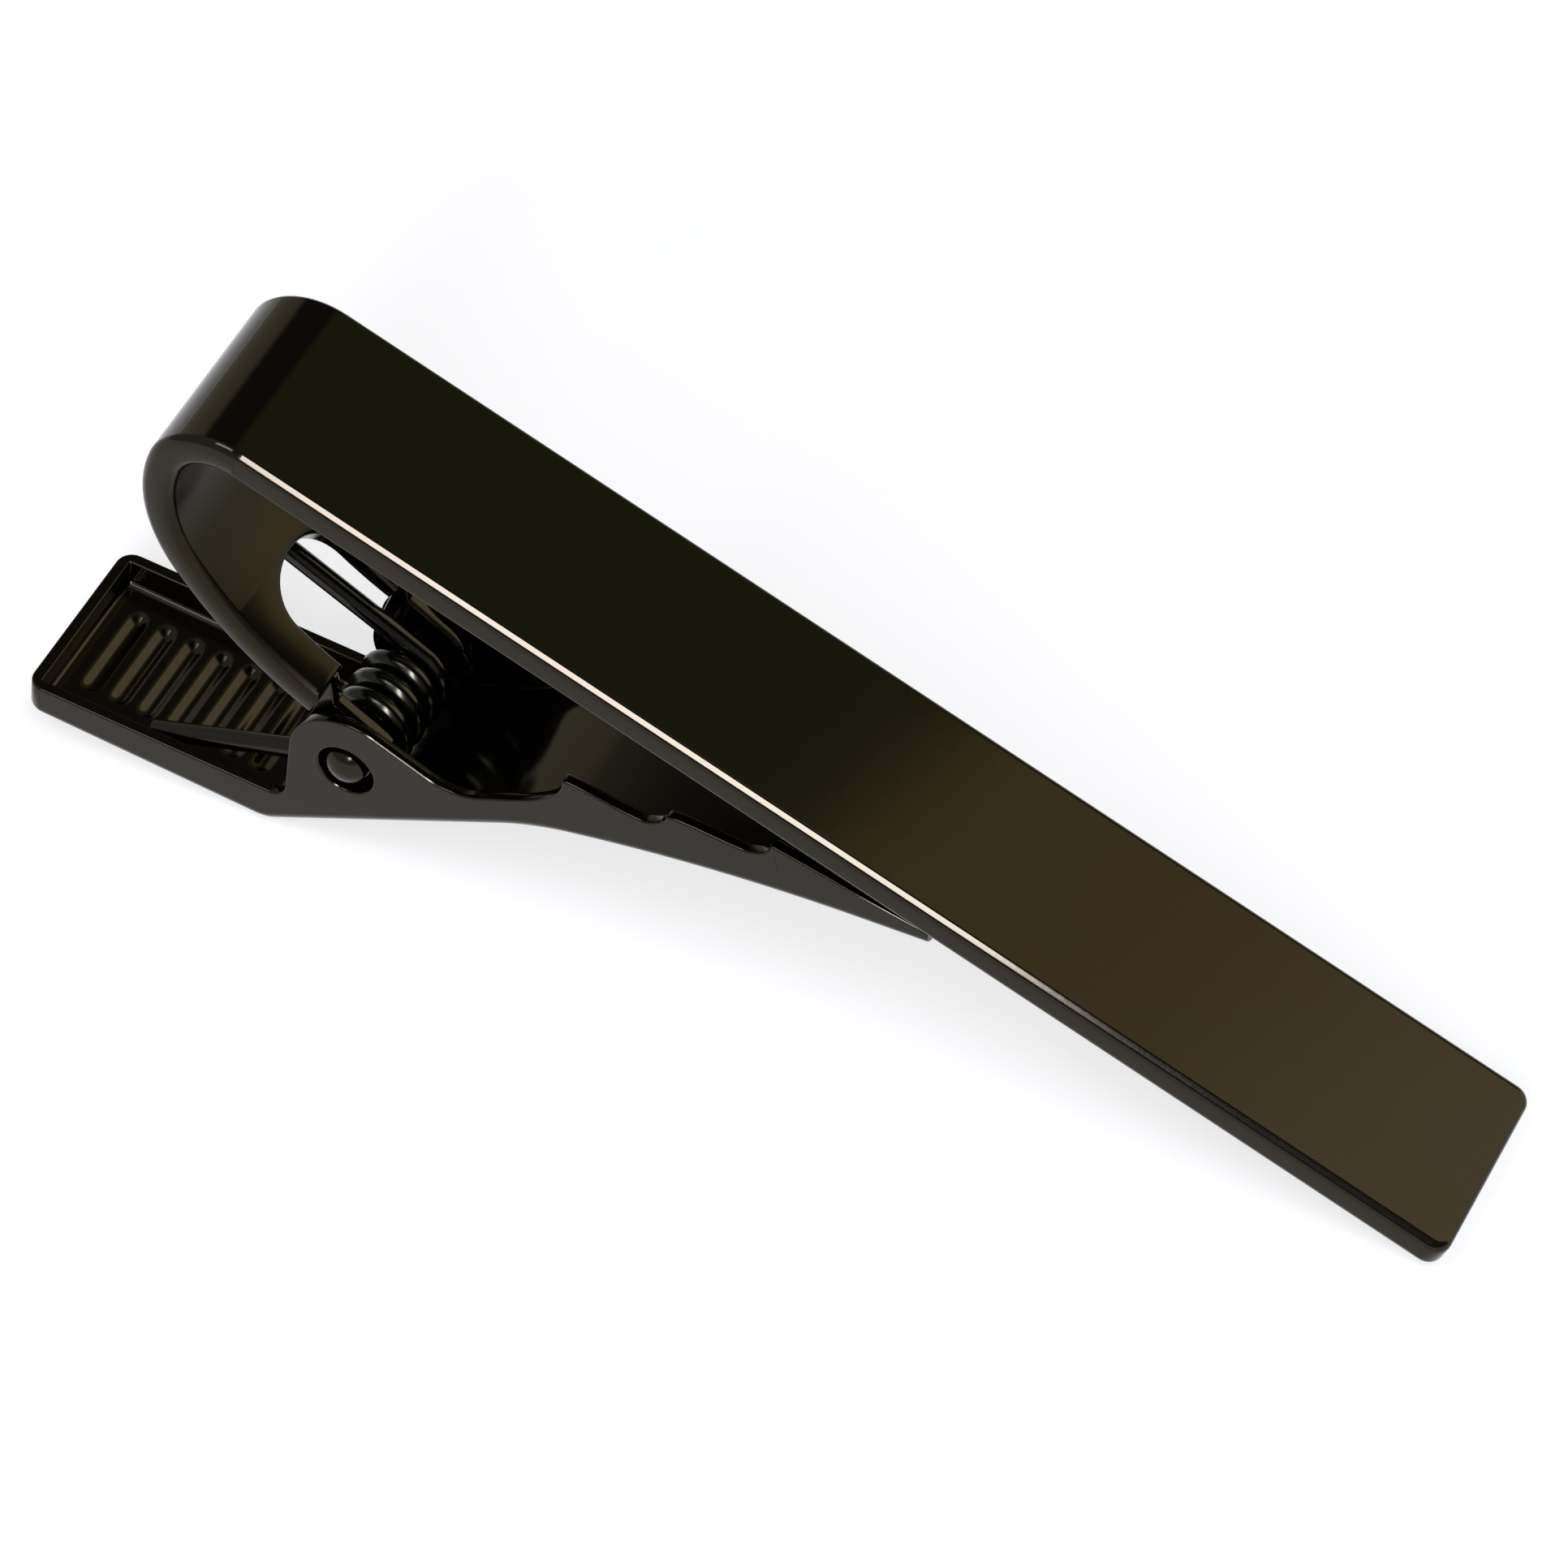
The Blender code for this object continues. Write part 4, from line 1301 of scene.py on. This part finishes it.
@dataclass
class TorsionSpring:
    """One wire wound round the pin, with an arm under the leg and an arm in the tab."""

    wire: float = 0.0003
    wire_sides: int = 20
    coil: float = 0.00098
    half_span: float = 0.00125
    whole_turns: int = 3
    turn_points: int = 48
    arm_points: int = 24
    seat_gap: float = 0.0003
    far_lap: float = 0.0006
    far_side: float = 0.0008
    near_tip: float = 0.0037
    side_gap: float = 0.0001

    def far_end(self) -> Vector:
        """The tip of the arm under the leg.

        Returns:
            Its place in the side view, from the pin.
        """
        end, heading = FrontBar().slot_end()
        seat = left_of(heading) * (self.seat_gap + self.wire)
        return end - seat - heading_vector(heading) * self.far_lap - FrontBar().pin_place()

    def near_end(self) -> Vector:
        """The tip of the arm in the tab.

        Returns:
            Its place in the side view, from the pin.
        """
        lever = ClaspLever()
        lift = left_of(-lever.tab_pitch) * (lever.sheet + self.wire + self.side_gap)
        in_lever = lever.tab_tail() + heading_vector(-lever.tab_pitch) * self.near_tip + lift
        return Matrix.Rotation(lever.pitch(), 2) @ in_lever

    def path(self) -> list[Vector]:
        """The middle of the wire, from the far arm's tip to the near arm's.

        Returns:
            The points in the bar's frame.
        """
        lever = ClaspLever()
        near_side = lever.half - lever.sheet - self.wire - self.side_gap
        first = tangent_angle(self.far_end(), Vector((0, 0)), self.coil, -1)
        last = tangent_angle(self.near_end(), Vector((0, 0)), self.coil, 1) % math.tau - math.tau
        turn = first - last + self.whole_turns * math.tau
        steps = round(self.turn_points * turn / math.tau)
        coil = []
        for step in range(steps + 1):
            spot = heading_vector(first - turn * step / steps) * self.coil
            coil.append(in_space(spot, self.half_span * (1 - 2 * step / steps)))
        far_tip = in_space(self.far_end(), self.far_side)
        near_tip = in_space(self.near_end(), -near_side)
        shares = [step / self.arm_points for step in range(self.arm_points)]
        far_arm = [far_tip.lerp(coil[0], share) for share in shares]
        near_arm = [near_tip.lerp(coil[-1], share) for share in shares]
        pin = in_space(FrontBar().pin_place(), 0)
        return [point + pin for point in (*far_arm, *coil, *reversed(near_arm))]

    def build(self, finish: Material) -> Object:
        """Winds the spring.

        Args:
            finish: the wire's material.

        Returns:
            The spring as a plain mesh in the bar's frame.
        """
        points = self.path()
        curve = bpy.data.curves.new("torsion_spring_form", "CURVE")
        curve.dimensions = "3D"
        spline = curve.splines.new("POLY")
        spline.points.add(len(points) - 1)
        for spot, point in zip(spline.points, points):
            spot.co = (*point, 1)
        path = bpy.data.objects.new("torsion_spring_form", curve)
        bpy.context.scene.collection.objects.link(path)
        return run_tree(path, wire_tree(self.wire_sides), {"Wire Radius": self.wire, "Finish": finish})


# Placing


@dataclass(frozen=True)
class Placement:
    """Where the bar's own frame lies in the world, and where the hinge is there."""

    tilt: float
    origin: Vector
    hinge: Vector

    @classmethod
    def from_record(cls, record: dict[str, Any], pin: Vector) -> "Placement":
        """Reads the lean from the front face's mount and the place from the hinge.

        Args:
            record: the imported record.
            pin: the hinge axis in the bar's side view.

        Returns:
            The placement.
        """
        normal = record["mounts"][0]["axis"]
        hinge = Vector(record["behaviour"]["joints"][0]["pos_m"])
        tilt = math.atan2(normal[0], normal[2])
        return cls(tilt, hinge - Matrix.Rotation(tilt, 3, "Y") @ in_space(pin, 0), hinge)

    def matrix(self) -> Matrix:
        """The bar's frame to the world."""
        return Matrix.Translation(self.origin) @ Matrix.Rotation(self.tilt, 4, "Y")

    def place(self, obj: Object, slot: str, node: str) -> None:
        """Moves a piece's mesh to its place in the world, hides the node that it stands for, and logs it.

        Args:
            obj: the piece in the bar's frame.
            slot: the record's material slot; not used.
            node: the node that it stands for.
        """
        obj.data.transform(self.matrix())
        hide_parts(node)
        LOG.info("%s: %d faces, stands for %s", obj.name, len(obj.data.polygons), node)


# Studio


def seen_rays(tree: NodeTree) -> Node:
    """Tells the rays that show a surface to the lens, directly, in metal or through glass.

    Args:
        tree: the tree of a material or of the room.

    Returns:
        A node that gives one for such a ray.
    """
    path = add_node(tree, "ShaderNodeLightPath").outputs
    links = {0: path["Is Camera Ray"], 1: path["Is Glossy Ray"]}
    direct = add_node(tree, "ShaderNodeMath", links, operation="MAXIMUM")
    links = {0: direct, 1: path["Is Transmission Ray"]}
    return add_node(tree, "ShaderNodeMath", links, operation="MAXIMUM")


@dataclass(frozen=True)
class Lamp:
    """A soft box. It hangs at a distance from the tie bar and faces it."""

    name: str
    towards: tuple[float, float, float]
    width: float
    height: float
    strength: float
    distance: float = 0.8
    colour: str = "#f7f9ff"

    def hang(self, placement: Placement, middle: Vector) -> None:
        """Hangs the soft box, which is given in the bar's frame.

        Args:
            placement: where the bar's frame lies.
            middle: the point that the lamp faces.
        """
        data = bpy.data.lights.new(self.name, "AREA")
        data.shape = "RECTANGLE"
        data.size = self.width
        data.size_y = self.height
        data.energy = self.strength * math.pi * self.width * self.height
        data.color = to_linear(self.colour)[:3]
        obj = bpy.data.objects.new(self.name, data)
        bpy.context.scene.collection.objects.link(obj)
        away = Vector(self.towards).normalized()
        up = away.cross(Vector((1, 0, 0))).normalized()
        side = up.cross(away)
        turn = Matrix((side, up, away)).transposed().to_4x4()
        spot = Matrix.Translation(middle + away * self.distance)
        obj.matrix_world = placement.matrix() @ spot @ turn


@dataclass(frozen=True)
class Room:
    """What the metal mirrors: white walls low down, and a ceiling of seven soft fields.

    The line between two fields is a pair of direction components, between which one field turns
    into the next: in X from the left to the right, in Y from near to far, in Z from low to high.
    What scatters light sees an even white room, as bright as the fields together.
    """

    wall_top: tuple[float, float] = (0.02, 0.12)
    near_to_far: tuple[float, float] = (0.30, 0.45)
    corner_to_middle: tuple[float, float] = (-0.64, -0.52)
    middle_to_left: tuple[float, float] = (-0.05, 0.12)
    left_to_right: tuple[float, float] = (0.315, 0.332)
    right_to_end: tuple[float, float] = (0.355, 0.405)
    wall: Colour = glow(WHITE, 1.0)
    scattered: Colour = glow(WHITE, 0.30)
    far_corner: Colour = glow("#fff8e0", 0.62)
    far_middle: Colour = glow("#fff4ea", 0.11)
    far_left: Colour = glow("#f8ffb8", 0.29)
    far_right: Colour = glow("#ffeab4", 1.14)
    far_end: Colour = glow("#fff2cf", 1.58)
    near_left: Colour = glow("#fffaf0", 0.45)
    near_right: Colour = glow(WHITE, 0.2)

    def build(self) -> None:
        """Lights the room."""
        world = bpy.data.worlds.new("room")
        bpy.context.scene.world = world
        world.use_nodes = True
        tree = world.node_tree
        tree.nodes.clear()
        place = add_node(tree, "ShaderNodeTexCoord").outputs["Generated"]
        axes = add_node(tree, "ShaderNodeSeparateXYZ", {0: place}).outputs
        middle = self.side_by_side(tree, axes["X"], self.corner_to_middle, self.far_corner, self.far_middle)
        left = self.side_by_side(tree, axes["X"], self.middle_to_left, middle, self.far_left)
        right = self.side_by_side(tree, axes["X"], self.right_to_end, self.far_right, self.far_end)
        far = self.side_by_side(tree, axes["X"], self.left_to_right, left, right)
        near = self.side_by_side(tree, axes["X"], self.middle_to_left, self.near_left, self.near_right)
        ceiling = self.side_by_side(tree, axes["Y"], self.near_to_far, near, far)
        shown = self.side_by_side(tree, axes["Z"], self.wall_top, self.wall, ceiling)
        links = {0: seen_rays(tree), 6: self.scattered, 7: shown}
        seen = add_node(tree, "ShaderNodeMix", links, data_type="RGBA").outputs[2]
        light = add_node(tree, "ShaderNodeBackground", {"Color": seen, "Strength": 1.0})
        add_node(tree, "ShaderNodeOutputWorld", {"Surface": light})

    def side_by_side(
        self, tree: NodeTree, axis: NodeSocket, line: tuple[float, float], before: Any, after: Any
    ) -> NodeSocket:
        """Lays two fields side by side.

        Args:
            tree: the room's tree.
            axis: the component of the direction that tells them apart.
            line: where the first begins to turn into the second, and where it has.
            before: the colour of the first, or the socket that gives it.
            after: the colour of the second, or the socket that gives it.

        Returns:
            The colour of both.
        """
        links = {"Value": axis, "From Min": line[0], "From Max": line[1]}
        share = add_node(tree, "ShaderNodeMapRange", links, interpolation_type="SMOOTHSTEP")
        return add_node(tree, "ShaderNodeMix", {0: share, 6: before, 7: after}, data_type="RGBA").outputs[2]


@dataclass(frozen=True)
class Table:
    """A table top of plain card. It scatters light and keeps the tie bar's shadow.

    The lens and the metal see it near white, because the rays that show it add a share of white.
    """

    size: float = 4.0
    card: str = "#808080"
    added_white: float = 0.68

    def material(self) -> Material:
        """The card.

        Returns:
            Its material.
        """
        material = bpy.data.materials.new("white_card")
        material.use_nodes = True
        tree = material.node_tree
        tree.nodes.clear()
        card = add_node(tree, "ShaderNodeBsdfDiffuse", {"Color": to_linear(self.card)})
        links = {"Color": to_linear(WHITE), "Strength": self.added_white}
        white = add_node(tree, "ShaderNodeEmission", links)
        both = add_node(tree, "ShaderNodeAddShader", {0: card, 1: white})
        mixed = add_node(tree, "ShaderNodeMixShader", {0: seen_rays(tree), 1: card, 2: both})
        add_node(tree, "ShaderNodeOutputMaterial", {"Surface": mixed})
        return material

    def build(self) -> None:
        """Lays the table top at zero height."""
        half = self.size / 2
        builder = bmesh.new()
        corners = [(-half, -half), (half, -half), (half, half), (-half, half)]
        builder.faces.new([builder.verts.new((x, y, 0)) for x, y in corners])
        table = mesh_object("table", builder)
        table.data.materials.append(self.material())


@dataclass(frozen=True)
class Camera:
    """The camera at the photograph's viewing angle, given in the bar's frame."""

    place: tuple[float, float, float] = (0.0170576, -0.1159916, 0.1600856)
    forward: tuple[float, float, float] = (0.008683, 0.579774, -0.814731)
    up: tuple[float, float, float] = (-0.550409, 0.683, 0.480167)
    lens: float = 172.426
    sensor: float = 36.0
    clip: tuple[float, float] = (0.01, 20.0)

    def build(self, placement: Placement) -> None:
        """Sets up the camera.

        Args:
            placement: where the bar's frame lies.
        """
        data = bpy.data.cameras.new("camera")
        data.lens = self.lens
        data.sensor_width = self.sensor
        data.clip_start, data.clip_end = self.clip
        camera = bpy.data.objects.new("camera", data)
        bpy.context.scene.collection.objects.link(camera)
        back = -Vector(self.forward).normalized()
        right = Vector(self.up).cross(back).normalized()
        turn = Matrix((right, back.cross(right), back)).transposed().to_4x4()
        camera.matrix_world = placement.matrix() @ Matrix.Translation(self.place) @ turn
        bpy.context.scene.camera = camera


@dataclass(frozen=True)
class Studio:
    """A pale table in a light room, a long strip box for the near edge, and a box at the side."""

    placement: Placement
    lamps: tuple[Lamp, ...] = (
        Lamp("strip_box", (-0.025, -0.574, 0.819), 0.136, 0.92, 30.0),
        Lamp("side_box", (-0.50, -0.33, 0.80), 0.30, 0.30, 6.0),
    )

    def build(self) -> None:
        """Sets up the camera, the table, the room and the lamps."""
        Camera().build(self.placement)
        Table().build()
        Room().build()
        for lamp in self.lamps:
            lamp.hang(self.placement, Vector((FrontBar().length / 2, 0, 0)))
        bpy.context.scene.view_settings.view_transform = "Standard"


def main() -> None:
    """Builds every piece in order, dresses it, and sets up the studio."""
    logging.basicConfig(level=logging.INFO, format="%(name)s: %(message)s")
    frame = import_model()
    placement = Placement.from_record(frame["record"], FrontBar().pin_place())
    bar_finish = BlackNickel("mirror_black_nickel")
    lever_finish = BlackNickel("barrel_polished_black_nickel", roughness=0.14)
    pin_finish = BlackNickel("turned_black_nickel", roughness=0.16)
    wire_finish = BlackNickel("blackened_spring_wire", "#3b3a37", "#34322e", roughness=0.2)
    bar = FrontBar().build(strip_bending_tree(), bar_finish.material())
    placement.place(bar, "bar_black_nickel", "front_bar")
    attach(bar, Body.BAR.value)
    lever = ClaspLever().build(pressed_ridges_tree(), lever_finish.material())
    placement.place(lever, "lever_black_nickel", "clasp_lever")
    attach(lever, Body.CLASP.value)
    pin = PivotPin().build(pin_finish.material())
    placement.place(pin, "pin_black_nickel", "pivot_pin")
    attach(pin, Body.BAR.value)
    spring = TorsionSpring().build(wire_finish.material())
    placement.place(spring, "spring_black_steel", "torsion_spring")
    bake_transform(spring)
    Studio(placement).build()


if __name__ == "__main__":
    main()
